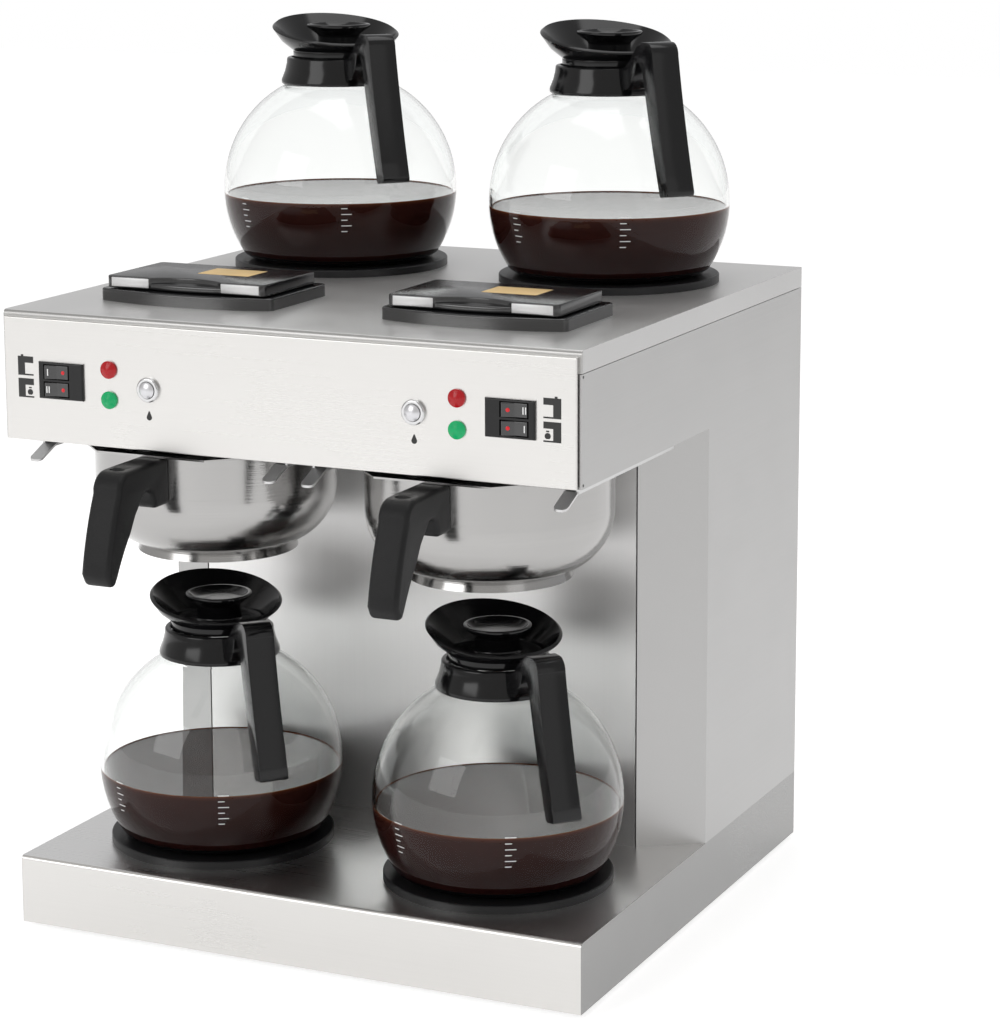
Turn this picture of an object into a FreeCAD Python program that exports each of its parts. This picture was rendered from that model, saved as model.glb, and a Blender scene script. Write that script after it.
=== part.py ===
import FreeCAD, Part
import math
import os
import re

import Sketcher
from FreeCAD import Placement, Rotation, Vector

# Two-station coffee brewer with two pour-over stations side by side: a base with two warming
# plates, a column that holds the water tanks, a hood that carries the brew baskets and the
# switches, and a deck with two more warming plates. X runs to the right, Y to the back and Z up.
# The origin lies on the table, at the middle of the outer box.

# Driving dimensions: name, value in millimetres (degrees where said), meaning.
DIMENSIONS = [
    ("machine_width", 406, "width of base, column and hood"),
    ("casing_depth", 388, "depth of the casing"),
    ("casing_front", -178, "front face of the base"),
    ("foot_height", 4, "height of the rubber feet"),
    ("foot_radius", 14, "radius of a rubber foot"),
    ("foot_inset", 38, "foot axis in from the casing's corner"),
    ("base_height", 46, "height of the base"),
    ("bay_height", 284, "clear height between base and hood"),
    ("hood_height", 84, "height of the hood"),
    ("sheet", 1.5, "thickness of the casing's sheet metal"),
    ("seam", 0.4, "gap left at a seam between covers"),
    ("lip_radius", 3, "rounded front lip of base and deck"),
    ("edge_radius", 0.8, "broken edge of folded sheet"),
    ("skirt_height", 14, "depth of the top cover's skirt"),
    ("fascia_depth", 3, "depth of the hood's front panel"),
    ("fascia_margin", 2, "gap beside the front panel, each side"),
    ("column_front", 6, "front face of the column"),
    ("backsplash_half", 162.4, "half width of the column's front panel"),
    ("chamfer_start", 163.4, "half width where the column's chamfer starts"),
    ("chamfer_end", 32, "depth where the chamfer meets the column's side"),
    ("return_depth", 12, "folded return of the column's front panel"),
    ("station_x", 103, "warming plate axis out from the middle"),
    ("lower_plate_y", -83, "depth of the lower plates' axes"),
    ("upper_plate_y", 99, "depth of the upper plates' axes"),
    ("plate_radius", 75.2, "radius of a warming plate"),
    ("plate_height", 5.4, "height of a warming plate"),
    ("plate_edge", 1.2, "rounding of a warming plate's edge"),
    ("element_radius", 55, "radius of a warming element"),
    ("element_height", 4, "thickness of a warming element"),
    ("wiring_hole", 18, "hole under each warming plate"),
    ("basket_x", 100, "basket axis out from the middle"),
    ("basket_y", -87, "depth of the basket axes"),
    ("basket_base", 253, "height of the basket's drip ring"),
    ("basket_wall", 1.2, "thickness of the basket's steel"),
    ("bowl_radius", 80, "radius of the basket's bowl"),
    ("bowl_turn", 44, "height where the bowl's side turns upright"),
    ("bowl_height", 74.6, "height of the flange's underside"),
    ("ring_radius", 53.2, "radius of the drip ring"),
    ("ring_height", 5, "height of the drip ring"),
    ("drain_radius", 5, "radius of the basket's drain"),
    ("flange_half", 88.5, "half width across the flange's flats"),
    ("flange_reach", 84, "half length of the flange"),
    ("flat_half", 36, "half length of a flange flat"),
    ("rail_gap", 89.5, "inner face of a rail's web from the basket axis"),
    ("rail_grip", 81.4, "inner edge of a rail's lower flange"),
    ("rail_drop", 8.4, "height of the guide rails"),
    ("rail_length", 155, "length of a guide rail"),
    ("tongue_width", 9.4, "width of a rail's lead-in tongue"),
    ("tongue_reach", 18, "length of a lead-in tongue"),
    ("tongue_drop", 7.5, "fall of a lead-in tongue"),
    ("globe_radius", 82, "radius of the decanter's globe"),
    ("globe_centre", 49, "height of the globe's centre"),
    ("glass", 2.2, "thickness of the decanter's glass"),
    ("glass_foot", 58, "flat radius under the decanter"),
    ("foot_bend", 4, "height where the foot meets the globe"),
    ("neck_radius", 33, "outer radius of the decanter's neck"),
    ("neck_start", 127, "height where the neck turns upright"),
    ("neck_top", 139, "height of the decanter's lip"),
    ("shoulder", 121, "height where the globe turns into the neck"),
    ("collar_bottom", 122.5, "height of the collar's lower edge"),
    ("collar_top", 141, "height of the collar's upper edge"),
    ("collar_base_radius", 40.5, "collar radius at its lower edge"),
    ("collar_top_radius", 36, "collar radius at its upper edge"),
    ("collar_gap", 0.2, "gap between collar and glass"),
    ("grip_width", 19, "width of the decanter's grip"),
    ("lid_wall", 2.2, "wall of a decanter lid"),
    ("drip_hole", 3, "radius of a drip hole in a decanter lid"),
    ("knob_rim", 1.6, "height of the rim of a lid's knob"),
    ("foot_edge", 2, "bevel under a rubber foot"),
    ("vent_pitch", 12, "pitch of the slots in the rear cover"),
    ("vent_height", 4, "height of a slot in the rear cover"),
    ("base_vent_pitch", 16, "pitch of the slots in the bottom plate"),
    ("base_vent_width", 5, "width of a slot in the bottom plate"),
    ("base_vent_half", 60, "half length of a slot in the bottom plate"),
    ("rail_foot", 9, "width of the foot of a guide rail"),
    ("tank_cover", 55, "room in the hood floor beyond a tank's middle"),
    ("basin_drain", 7, "drain from a filling basin"),
    ("lug_half", 2.5, "half depth of a hinge lug"),
    ("valve_side", 34, "side of the inlet valve's body"),
    ("valve_depth", 46, "depth of the inlet valve's body"),
    ("coil_width", 28, "width of the inlet valve's coil"),
    ("coil_depth", 32, "depth of the inlet valve's coil"),
    ("coil_height", 30, "height of the inlet valve's coil"),
    ("valve_set_back", 8, "gap from the rear cover to the inlet valve"),
    ("nut_height", 7, "height of the cable gland's nut"),
    ("gland_height", 12, "height of the cable gland's dome"),
    ("board_length", 120, "length of the control board"),
    ("board_width", 60, "width of the control board"),
    ("board_thickness", 1.6, "thickness of the control board"),
    ("post_height", 9, "height of the posts under the board"),
    ("relay_side", 15, "depth and height of a relay"),
    ("screw_head", 4, "radius of a screw's head"),
    ("screw_shank", 1.9, "radius of a screw's shank"),
    ("screw_inset", 12, "screws in from the edges of the rear cover"),
    ("grip_depth", 13, "thickness of the decanter's grip"),
    ("grip_top_reach", 83, "outer face of the grip at its top"),
    ("grip_end_reach", 110, "outer face of the grip at its end"),
    ("grip_top", 160.5, "height of the grip's top"),
    ("grip_end", 64, "height of the grip's free end"),
    ("grip_round", 2.5, "rounding of the grip's edges"),
    ("plug_radius", 29.5, "radius of the lid's plug"),
    ("plug_drop", 127, "height of the plug's lower edge"),
    ("funnel_floor", 146.5, "height of the funnel's floor"),
    ("funnel_mouth", 172.5, "height to which the funnel cone is drawn"),
    ("funnel_mouth_radius", 50.5, "radius to which the cone is drawn"),
    ("rim_height", 159.1, "height of the cut rim above the axis"),
    ("rim_slope", 0.198, "fall of the rim towards the handle, per millimetre"),
    ("knob_top", 163.8, "height of the lid's knob"),
    ("knob_radius", 22.3, "radius of the lid's knob"),
    ("stem_radius", 14.5, "radius of the knob's stem"),
    ("arch_top", 327.2, "top of the basket's handle"),
    ("handle_width", 18, "width of the basket's handle"),
    ("fill_half", 64, "half width of a fill frame"),
    ("fill_back", -42, "back edge of the fill frames"),
    ("fill_corner", -118, "front corners of the fill frames"),
    ("fill_bow", 98, "radius of the fill frame's front"),
    ("fill_frame_height", 8, "height of a fill frame"),
    ("fill_mouth_half", 46, "half width of the filling mouth"),
    ("fill_mouth_front", -110, "front of the filling mouth"),
    ("fill_mouth_back", -64, "back of the filling mouth"),
    ("basin_depth", 42, "depth of the filling basin below the deck"),
    ("basin_wall", 2, "wall of the filling basin"),
    ("lid_inset", 5, "fill lid in from its frame"),
    ("lid_height", 8.2, "height of a fill lid"),
    ("lid_skin", 2.6, "thickness of a fill lid's skin"),
    ("notch_half", 25.5, "half width of the lid's finger notch"),
    ("notch_depth", 9, "depth of the lid's finger notch"),
    ("hinge_y", -45, "depth of the fill lids' hinge axis"),
    ("hinge_rise", 11, "hinge axis above the deck"),
    ("hinge_pin_radius", 1.5, "radius of a hinge pin"),
    ("hinge_play", 0.06, "running clearance round a hinge pin"),
    ("barrel_radius", 2.7, "radius of a lid's hinge barrel"),
    ("barrel_half", 44, "half length of a lid's hinge barrel"),
    ("lug_width", 6, "width of a hinge lug"),
    ("switch_x", 158, "switch housing out from the middle"),
    ("panel_z", 374.5, "height of the switch housings"),
    ("switch_half_width", 16.5, "half width of a switch housing"),
    ("switch_half_height", 12, "half height of a switch housing"),
    ("switch_proud", 2, "switch housing in front of the panel"),
    ("switch_body", 22, "depth of a switch housing"),
    ("switch_cover", 0.4, "overlap of a housing's rim on the front panel"),
    ("rocker_gap", 5.6, "rocker axis above or below the housing's middle"),
    ("rocker_half_height", 4.5, "half height of a rocker"),
    ("rocker_half_width", 8.6, "half width of a rocker's face"),
    ("rocker_well_half", 9.6, "half width of a rocker's well"),
    ("rocker_play", 0.4, "gap above and below a rocker"),
    ("rocker_shift", 3, "rocker axis in from the housing's middle"),
    ("rocker_tilt", 7, "rocker's tilt in degrees when off"),
    ("pivot_depth", 2.3, "rocker axis behind the housing's face"),
    ("pivot_radius", 1, "radius of a rocker's pivots"),
    ("pivot_play", 0.06, "running clearance round a pivot"),
    ("pivot_length", 0.9, "length of a pivot beyond the rocker"),
    ("lamp_x", 122.5, "indicator lamps out from the middle"),
    ("red_lamp_z", 384.3, "height of the red lamps"),
    ("green_lamp_z", 364.8, "height of the green lamps"),
    ("lamp_radius", 5.7, "radius of a lamp's lens"),
    ("lamp_hole", 4.6, "hole for a lamp's body"),
    ("button_x", 93.5, "fill buttons out from the middle"),
    ("button_z", 373.5, "height of the fill buttons"),
    ("bezel_radius", 8, "radius of a button's bezel"),
    ("bezel_bore", 5.7, "bore of a button's bezel"),
    ("button_radius", 5.3, "radius of a fill button"),
    ("tank_x", 75, "water tank axis out from the middle"),
    ("tank_width", 120, "width of a water tank"),
    ("tank_depth", 140, "depth of a water tank"),
    ("tank_front", 40, "front of the water tanks"),
    ("tank_height", 258, "height of a water tank"),
    ("tank_gap", 10, "gap between base and tank"),
    ("heater_y", 130, "depth of the heater flanges"),
    ("rod_radius", 4, "radius of a heating rod"),
    ("tube_radius", 5, "radius of a water tube"),
    ("tube_bend", 12, "bend radius of a water tube"),
    ("tube_height", 360, "height of the water tubes' level run"),
    ("tube_y", 60, "depth where the water tubes leave the tanks"),
    ("spray_radius", 32, "radius of a spray head"),
    ("inlet_x", 168, "water inlet out from the middle"),
    ("rear_fitting_z", 100, "height of the rear fittings"),
    ("inlet_radius", 13.2, "outer radius of the inlet's 3/4 inch thread"),
    ("inlet_length", 26, "length of the inlet's thread"),
    ("inlet_bore", 9, "bore of the inlet"),
    ("gland_radius", 11, "radius of the cable gland"),
    ("gland_bore", 4.5, "bore of the cable gland"),
    ("rear_reach", 30, "reach of the inlet behind the casing"),
]

WORDS = {alias for alias, _, _ in DIMENSIONS}
SIDES = (("left", -1), ("right", 1))

doc = FreeCAD.newDocument("coffee_brewer")
sheet = doc.addObject("Spreadsheet::Sheet", "Dims")
for row, (alias, size, meaning) in enumerate(DIMENSIONS, start=1):
    sheet.set(f"A{row}", meaning)
    sheet.set(f"B{row}", str(size))
    sheet.setAlias(f"B{row}", alias)
doc.recompute()

# Levels and planes that several pieces share, as formulas on the sheet's names.
BASE_TOP = "(foot_height + base_height)"
HOOD_BOTTOM = "(foot_height + base_height + bay_height)"
DECK = "(foot_height + base_height + bay_height + hood_height)"
REAR = "(casing_front + casing_depth)"
HALF = "(machine_width / 2)"
REAR_PANEL = f"({REAR} - sheet - seam / 2)"
PLATES = {
    "lower": ("lower_plate_y", BASE_TOP),
    "upper": ("upper_plate_y", DECK),
}

nodes = {}


def formula(text):
    """Write a formula the way the document reads it, with every name taken from the sheet."""
    return re.sub(r"[a-z_]+", lambda word: "Dims." + word[0] if word[0] in WORDS else word[0], str(text))


def value(text):
    """The present value of a formula."""
    return float(sheet.evalExpression(formula(text)))


def bind(thing, **formulas):
    """Drive properties of an object by formulas."""
    for name, text in formulas.items():
        thing.setExpression(name, formula(text))


def place(thing, x, y, z, turn=None):
    """Put an object at a point given by formulas, turned first if a rotation is given."""
    if turn is not None:
        thing.Placement = Placement(Vector(0, 0, 0), turn)
    for letter, text in zip("xyz", (x, y, z)):
        thing.setExpression(f"Placement.Base.{letter}", formula(text))
    return thing


def keep(label, thing):
    """Register an object as a finished piece under its own name."""
    thing.Label = label
    nodes[label] = thing
    return thing


# Part primitives and booleans.
ALONG_Y = Rotation(Vector(1, 0, 0), -90)
ALONG_X = Rotation(Vector(0, 1, 0), 90)


def block(x, y, z, length, width, height):
    """A box from its low corner."""
    thing = doc.addObject("Part::Box", "block")
    bind(thing, Length=length, Width=width, Height=height)
    return place(thing, x, y, z)


def rod(x, y, z, radius, length, turn=None):
    """A cylinder from the centre of its first end."""
    thing = doc.addObject("Part::Cylinder", "rod")
    bind(thing, Radius=radius, Height=length)
    return place(thing, x, y, z, turn)


def cut(base, tool):
    """One solid less another."""
    thing = doc.addObject("Part::Cut", "cut")
    thing.Base = base
    thing.Tool = tool
    return thing


def fuse(shapes):
    """Several solids made one."""
    thing = doc.addObject("Part::MultiFuse", "fuse")
    thing.Shapes = shapes
    return thing


def group(shapes):
    """Separate solids kept together under one name."""
    thing = doc.addObject("Part::Compound", "group")
    thing.Links = shapes
    return thing


# Part Design bodies.
def new_body(x="0", y="0", z="0", turn=None):
    """An empty body whose own origin sits at the given point."""
    return place(doc.addObject("PartDesign::Body", "body"), x, y, z, turn)


def new_sketch(body, plane, level="0"):
    """A sketch on one of the body's own origin planes, lifted by a formula."""
    sketch = body.newObject("Sketcher::SketchObject", "sketch")
    support = [feature for feature in body.Origin.OriginFeatures if feature.Role == plane]
    sketch.AttachmentSupport = [(support[0], "")]
    sketch.MapMode = "FlatFace"
    sketch.setExpression("AttachmentOffset.Base.z", formula(level))
    return sketch


def pin_point(sketch, index, end, across, up):
    """Hold a sketch point at formulas measured from the sketch's origin."""
    for kind, axis, text in (("DistanceX", -2, across), ("DistanceY", -1, up)):
        if text == "0":
            sketch.addConstraint(Sketcher.Constraint("PointOnObject", index, end, axis))
            continue
        held = sketch.addConstraint(Sketcher.Constraint(kind, -1, 1, index, end, value(text)))
        sketch.setExpression(f"Constraints[{held}]", formula(text))


def bent_run(start, finish, radius):
    """An arc between two points, to the left of the run where the radius is positive."""
    half = (finish - start) * 0.5
    rise = math.sqrt(max(radius * radius - half.Length ** 2, 0)) / half.Length
    side = 1 if radius > 0 else -1
    centre = start + half + Vector(-half.y, half.x, 0) * rise * side
    first, last = (start, finish) if side > 0 else (finish, start)
    angles = [math.atan2((point - centre).y, (point - centre).x) for point in (first, last)]
    if angles[1] < angles[0]:
        angles[1] += 2 * math.pi
    circle = Part.Circle(centre, Vector(0, 0, 1), abs(radius))
    return Part.ArcOfCircle(circle, *angles)


def outline(sketch, corners):
    """Draw a closed outline. A corner is (across, up) and may add the radius of the run after it."""
    corners = [tuple(str(text) for text in corner) for corner in corners]
    points = [Vector(value(corner[0]), value(corner[1]), 0) for corner in corners]
    ends = []
    for index, corner in enumerate(corners):
        start = points[index]
        finish = points[(index + 1) % len(points)]
        if len(corner) == 2:
            run = sketch.addGeometry(Part.LineSegment(start, finish))
            ends.append((run, 1, 2))
            continue
        radius = value(corner[2])
        run = sketch.addGeometry(bent_run(start, finish, radius))
        ends.append((run, 1, 2) if radius > 0 else (run, 2, 1))
    for index, corner in enumerate(corners):
        run, first, last = ends[index]
        following, start_end, _ = ends[(index + 1) % len(ends)]
        sketch.addConstraint(Sketcher.Constraint("Coincident", run, last, following, start_end))
        pin_point(sketch, run, first, corner[0], corner[1])
        if len(corner) > 2:
            held = sketch.addConstraint(Sketcher.Constraint("Radius", run, abs(value(corner[2]))))
            sketch.setExpression(f"Constraints[{held}]", formula(f"abs({corner[2]})"))
    return sketch


def rectangle(sketch, left, low, right, high):
    """Draw an upright rectangle."""
    return outline(sketch, [(left, low), (right, low), (right, high), (left, high)])


def circle(sketch, across, up, radius):
    """Draw a circle."""
    centre = Vector(value(across), value(up), 0)
    run = sketch.addGeometry(Part.Circle(centre, Vector(0, 0, 1), value(radius)))
    pin_point(sketch, run, 3, across, up)
    held = sketch.addConstraint(Sketcher.Constraint("Radius", run, value(radius)))
    sketch.setExpression(f"Constraints[{held}]", formula(radius))
    return sketch


def pad(body, sketch, length, both_ways=False):
    """Raise a sketch into a solid along the sketch's normal."""
    feature = body.newObject("PartDesign::Pad", "pad")
    feature.Profile = sketch
    feature.SideType = "Symmetric" if both_ways else "One side"
    bind(feature, Length=length)
    doc.recompute()
    return body


def pocket(body, sketch, depth, both_ways=False, along_normal=False):
    """Cut a sketch out of a body, and make sure that the cut took something away."""
    before = body.Shape.Volume
    feature = body.newObject("PartDesign::Pocket", "pocket")
    feature.Profile = sketch
    feature.SideType = "Symmetric" if both_ways else "One side"
    feature.Reversed = along_normal
    bind(feature, Length=depth)
    doc.recompute()
    if body.Shape.Volume > before - 0.1:
        raise RuntimeError(f"a pocket in {body.Label} cuts nothing")
    return body


def turn_about_axis(body, sketch, kind="PartDesign::Revolution"):
    """Turn a sketch round the body's upright axis, as material or as a groove."""
    before = body.Shape.Volume if kind == "PartDesign::Groove" else None
    feature = body.newObject(kind, "turned")
    feature.Profile = sketch
    feature.ReferenceAxis = (sketch, ["V_Axis"])
    feature.Angle = 360
    doc.recompute()
    if before is not None and body.Shape.Volume > before - 0.1:
        raise RuntimeError(f"a groove in {body.Label} cuts nothing")
    return body


def round_edges(body, radius, chosen):
    """Round the edges of a body that a test picks, given each edge's middle and direction."""
    base = body.Tip
    names = []
    for index, edge in enumerate(base.Shape.Edges, start=1):
        middle = edge.valueAt((edge.FirstParameter + edge.LastParameter) / 2)
        direction = edge.tangentAt((edge.FirstParameter + edge.LastParameter) / 2)
        if chosen(middle, direction):
            names.append(f"Edge{index}")
    feature = body.newObject("PartDesign::Fillet", "rounded")
    feature.Base = (base, names)
    bind(feature, Radius=radius)
    doc.recompute()
    return body


def turned(x, y, z, corners, turn=None):
    """A body turned from one outline."""
    body = new_body(x, y, z, turn)
    return turn_about_axis(body, outline(new_sketch(body, "XZ_Plane"), corners))


def dome(radius, rise):
    """The radius of a ball cap of the given rim radius and rise."""
    return f"(({radius}) ^ 2 + ({rise}) ^ 2) / (2 * ({rise}))"


# Base: a folded tray that opens downwards, closed by a plate that stands on four feet.
def make_base():
    body = new_body(z="foot_height")
    pad(body, rectangle(new_sketch(body, "XY_Plane"), f"-{HALF}", "casing_front", HALF, REAR), "base_height")
    top = value("base_height")
    front = value("casing_front")
    round_edges(body, "lip_radius", lambda mid, way: mid.z > top - 0.1 and mid.y < front + 0.1)
    inner = rectangle(new_sketch(body, "XY_Plane"), f"-{HALF} + sheet", "casing_front + sheet",
                      f"{HALF} - sheet", f"{REAR} - sheet")
    pocket(body, inner, "base_height - sheet", along_normal=True)
    holes = new_sketch(body, "XY_Plane", "base_height")
    for _, sign in SIDES:
        circle(holes, f"{sign} * station_x", "lower_plate_y", "wiring_hole")
    rectangle(holes, "-tank_x", "tank_front", "tank_x", "tank_front + tank_depth")
    pocket(body, holes, "2 * sheet")
    keep("base_shell", body)

    body = new_body(z="foot_height")
    inset = "(sheet + seam)"
    plate = rectangle(new_sketch(body, "XY_Plane"), f"-{HALF} + {inset}", f"casing_front + {inset}",
                      f"{HALF} - {inset}", f"{REAR} - {inset}")
    pad(body, plate, "sheet")
    slots = new_sketch(body, "XY_Plane", "sheet")
    for slot in range(7):
        low = f"tank_front + {slot} * base_vent_pitch"
        rectangle(slots, "-base_vent_half", low, "base_vent_half", f"{low} + base_vent_width")
    pocket(body, slots, "2 * sheet")
    keep("base_bottom_plate", body)

    feet = []
    for _, sign in SIDES:
        for depth in ("casing_front + foot_inset", f"{REAR} - foot_inset"):
            corners = [("0", "0"), ("foot_radius - foot_edge", "0"), ("foot_radius", "foot_edge"),
                       ("foot_radius - 1", "foot_height"), ("0", "foot_height")]
            feet.append(turned(f"{sign} * ({HALF} - foot_inset)", depth, "0", corners))
    keep("rubber_feet", group(feet))


# Column: a front panel with folded returns, two side covers that wrap its chamfers, a rear cover.
def make_column():
    body = new_body(z=BASE_TOP)
    inner = "backsplash_half - sheet"
    fold = "column_front + return_depth"
    skin = "column_front + sheet"
    profile = [("-backsplash_half", "column_front"), ("backsplash_half", "column_front"),
               ("backsplash_half", fold), (inner, fold), (inner, skin),
               (f"-({inner})", skin), (f"-({inner})", fold), ("-backsplash_half", fold)]
    pad(body, outline(new_sketch(body, "XY_Plane"), profile), "bay_height")
    keep("backsplash_panel", body)

    for side, sign in SIDES:
        body = new_body(z=BASE_TOP)
        profile = [(f"{sign} * chamfer_start", "column_front"), (f"{sign} * {HALF}", "chamfer_end"),
                   (f"{sign} * {HALF}", REAR), (f"{sign} * ({HALF} - sheet)", REAR),
                   (f"{sign} * ({HALF} - sheet)", "chamfer_end + sheet / 2"),
                   (f"{sign} * chamfer_start", "column_front + sheet * 1.25")]
        pad(body, outline(new_sketch(body, "XY_Plane"), profile), "bay_height")
        keep(f"column_cover_{side}", body)

    body = new_body(y=REAR_PANEL)
    width = f"({HALF} - sheet - seam)"
    plate = rectangle(new_sketch(body, "XZ_Plane"), f"-{width}", f"{BASE_TOP} + seam",
                      width, f"{DECK} - skirt_height - seam")
    pad(body, plate, "sheet")
    body.setExpression("Placement.Base.y", formula(f"{REAR_PANEL} + sheet"))
    openings = new_sketch(body, "XZ_Plane")
    circle(openings, "inlet_x", "rear_fitting_z", "inlet_radius + 1")
    circle(openings, "-inlet_x", "rear_fitting_z", "gland_radius - 1")
    for _, sign in SIDES:
        for slot in range(8):
            low = f"{HOOD_BOTTOM} - (10 - {slot}) * vent_pitch"
            near, far = sorted((sign * 40, sign * 110))
            rectangle(openings, f"{near}", low, f"{far}", f"{low} + vent_height")
    pocket(body, openings, "4 * sheet", both_ways=True)
    keep("rear_cover", body)


# Hood: side panels, a floor, the front panel with its cut-outs, and the top cover or deck.
def make_hood():
    for side, sign in SIDES:
        inner, outer = sorted((f"{sign} * ({HALF} - sheet)", f"{sign} * {HALF}"), key=value)
        body = new_body(z=HOOD_BOTTOM)
        pad(body, rectangle(new_sketch(body, "XY_Plane"), inner, "casing_front", outer, REAR),
            "hood_height - skirt_height - seam")
        keep(f"hood_side_{side}", body)

    body = new_body(z=HOOD_BOTTOM)
    width = f"({HALF} - sheet)"
    floor = rectangle(new_sketch(body, "XY_Plane"), f"-{width}", "casing_front + seam", width,
                      f"{REAR_PANEL} - seam")
    pad(body, floor, "sheet")
    holes = new_sketch(body, "XY_Plane", "sheet")
    for _, sign in SIDES:
        circle(holes, f"{sign} * basket_x", "basket_y", "tube_radius + 4")
    rectangle(holes, "-tank_x - tank_cover", "tank_front", "tank_x + tank_cover", "tank_front + tank_depth")
    pocket(body, holes, "2 * sheet")
    keep("hood_underside", body)

    body = new_body(y="casing_front")
    wide = f"({HALF} - fascia_margin)"
    panel_top = f"{DECK} - lip_radius - 1"
    panel = rectangle(new_sketch(body, "XZ_Plane"), f"-{wide}", HOOD_BOTTOM, wide, panel_top)
    pad(body, panel, "fascia_depth")
    front = value("-fascia_depth")
    round_edges(body, "edge_radius", lambda mid, way: mid.y < front + 0.01)
    back = rectangle(new_sketch(body, "XZ_Plane"), f"-{wide} + sheet", f"{HOOD_BOTTOM} + sheet",
                     f"{wide} - sheet", f"{panel_top} - sheet")
    pocket(body, back, "fascia_depth - sheet", along_normal=True)
    openings = new_sketch(body, "XZ_Plane")
    for _, sign in SIDES:
        rectangle(openings, f"{sign} * switch_x - switch_half_width + switch_cover",
                  "panel_z - switch_half_height + switch_cover",
                  f"{sign} * switch_x + switch_half_width - switch_cover",
                  "panel_z + switch_half_height - switch_cover")
        circle(openings, f"{sign} * lamp_x", "red_lamp_z", "lamp_hole")
        circle(openings, f"{sign} * lamp_x", "green_lamp_z", "lamp_hole")
        circle(openings, f"{sign} * button_x", "button_z", "bezel_radius - 1.4")
    pocket(body, openings, "4 * fascia_depth", both_ways=True)
    keep("hood_front_panel", body)

    body = new_body(z=f"{DECK} - skirt_height")
    pad(body, rectangle(new_sketch(body, "XY_Plane"), f"-{HALF}", "casing_front", HALF, REAR), "skirt_height")
    top = value("skirt_height")
    front = value("casing_front")
    round_edges(body, "lip_radius", lambda mid, way: mid.z > top - 0.1 and mid.y < front + 0.1)
    inner = rectangle(new_sketch(body, "XY_Plane"), f"-{HALF} + sheet", "casing_front + sheet",
                      f"{HALF} - sheet", f"{REAR} - sheet")
    pocket(body, inner, "skirt_height - sheet", along_normal=True)
    holes = new_sketch(body, "XY_Plane", "skirt_height")
    room = "(basin_wall + seam)"
    for _, sign in SIDES:
        circle(holes, f"{sign} * station_x", "upper_plate_y", "wiring_hole")
        rectangle(holes, f"{sign} * station_x - fill_mouth_half - {room}", f"fill_mouth_front - {room}",
                  f"{sign} * station_x + fill_mouth_half + {room}", f"fill_mouth_back + {room}")
    pocket(body, holes, "2 * sheet")
    keep("top_cover", body)


# Warming plates, and under each one an element whose stud reaches up to the plate.
def make_warmers():
    elements = []
    for level, (depth, floor) in PLATES.items():
        for side, sign in SIDES:
            edge = "plate_radius - plate_edge"
            corners = [("0", "0"), ("plate_radius", "0"),
                       ("plate_radius", "plate_height - plate_edge", "plate_edge"),
                       (edge, "plate_height"), ("0", "plate_height")]
            plate = turned(f"{sign} * station_x", depth, floor, corners)
            keep(f"warmer_plate_{level}_{side}", plate)
            corners = [("0", "-sheet - element_height"), ("element_radius", "-sheet - element_height"),
                       ("element_radius", "-sheet"), ("4", "-sheet"), ("4", "0"), ("0", "0")]
            elements.append(turned(f"{sign} * station_x", depth, floor, corners))
    keep("warmer_elements", group(elements))


# Guide rails: one folded rail each side of a basket, with a rounded lead-in tongue in front.
def make_rail(sign, side_sign):
    body = new_body(f"{sign} * basket_x", "casing_front + tongue_reach + 5", HOOD_BOTTOM)
    web = "rail_gap"
    low = "-rail_drop"
    profile = [(f"{side_sign} * rail_grip", low), (f"{side_sign} * ({web} + sheet)", low),
               (f"{side_sign} * ({web} + sheet)", "-sheet"), (f"{side_sign} * ({web} + rail_foot)", "-sheet"),
               (f"{side_sign} * ({web} + rail_foot)", "0"), (f"{side_sign} * {web}", "0"),
               (f"{side_sign} * {web}", f"{low} + sheet"), (f"{side_sign} * rail_grip", f"{low} + sheet")]
    pad(body, outline(new_sketch(body, "XZ_Plane", "-rail_length"), profile), "rail_length")
    level = min(f"{side_sign} * rail_grip", f"{side_sign} * (rail_grip + tongue_width)", key=value)
    tongue = [("1", low), ("1", f"{low} + sheet"), ("0", f"{low} + sheet"),
              ("-tongue_reach", f"{low} + sheet - tongue_drop"), ("-tongue_reach", f"{low} - tongue_drop"),
              ("0", low)]
    pad(body, outline(new_sketch(body, "YZ_Plane", level), tongue), "tongue_width")
    tip = value("-tongue_reach")
    tongue_round = "tongue_width / 2 - 1.2"
    return round_edges(body, tongue_round, lambda mid, way: abs(mid.y - tip) < 0.1 and abs(way.z) > 0.9)


def make_rails():
    for side, sign in SIDES:
        keep(f"guide_rails_{side}", group([make_rail(sign, -1), make_rail(sign, 1)]))


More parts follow.
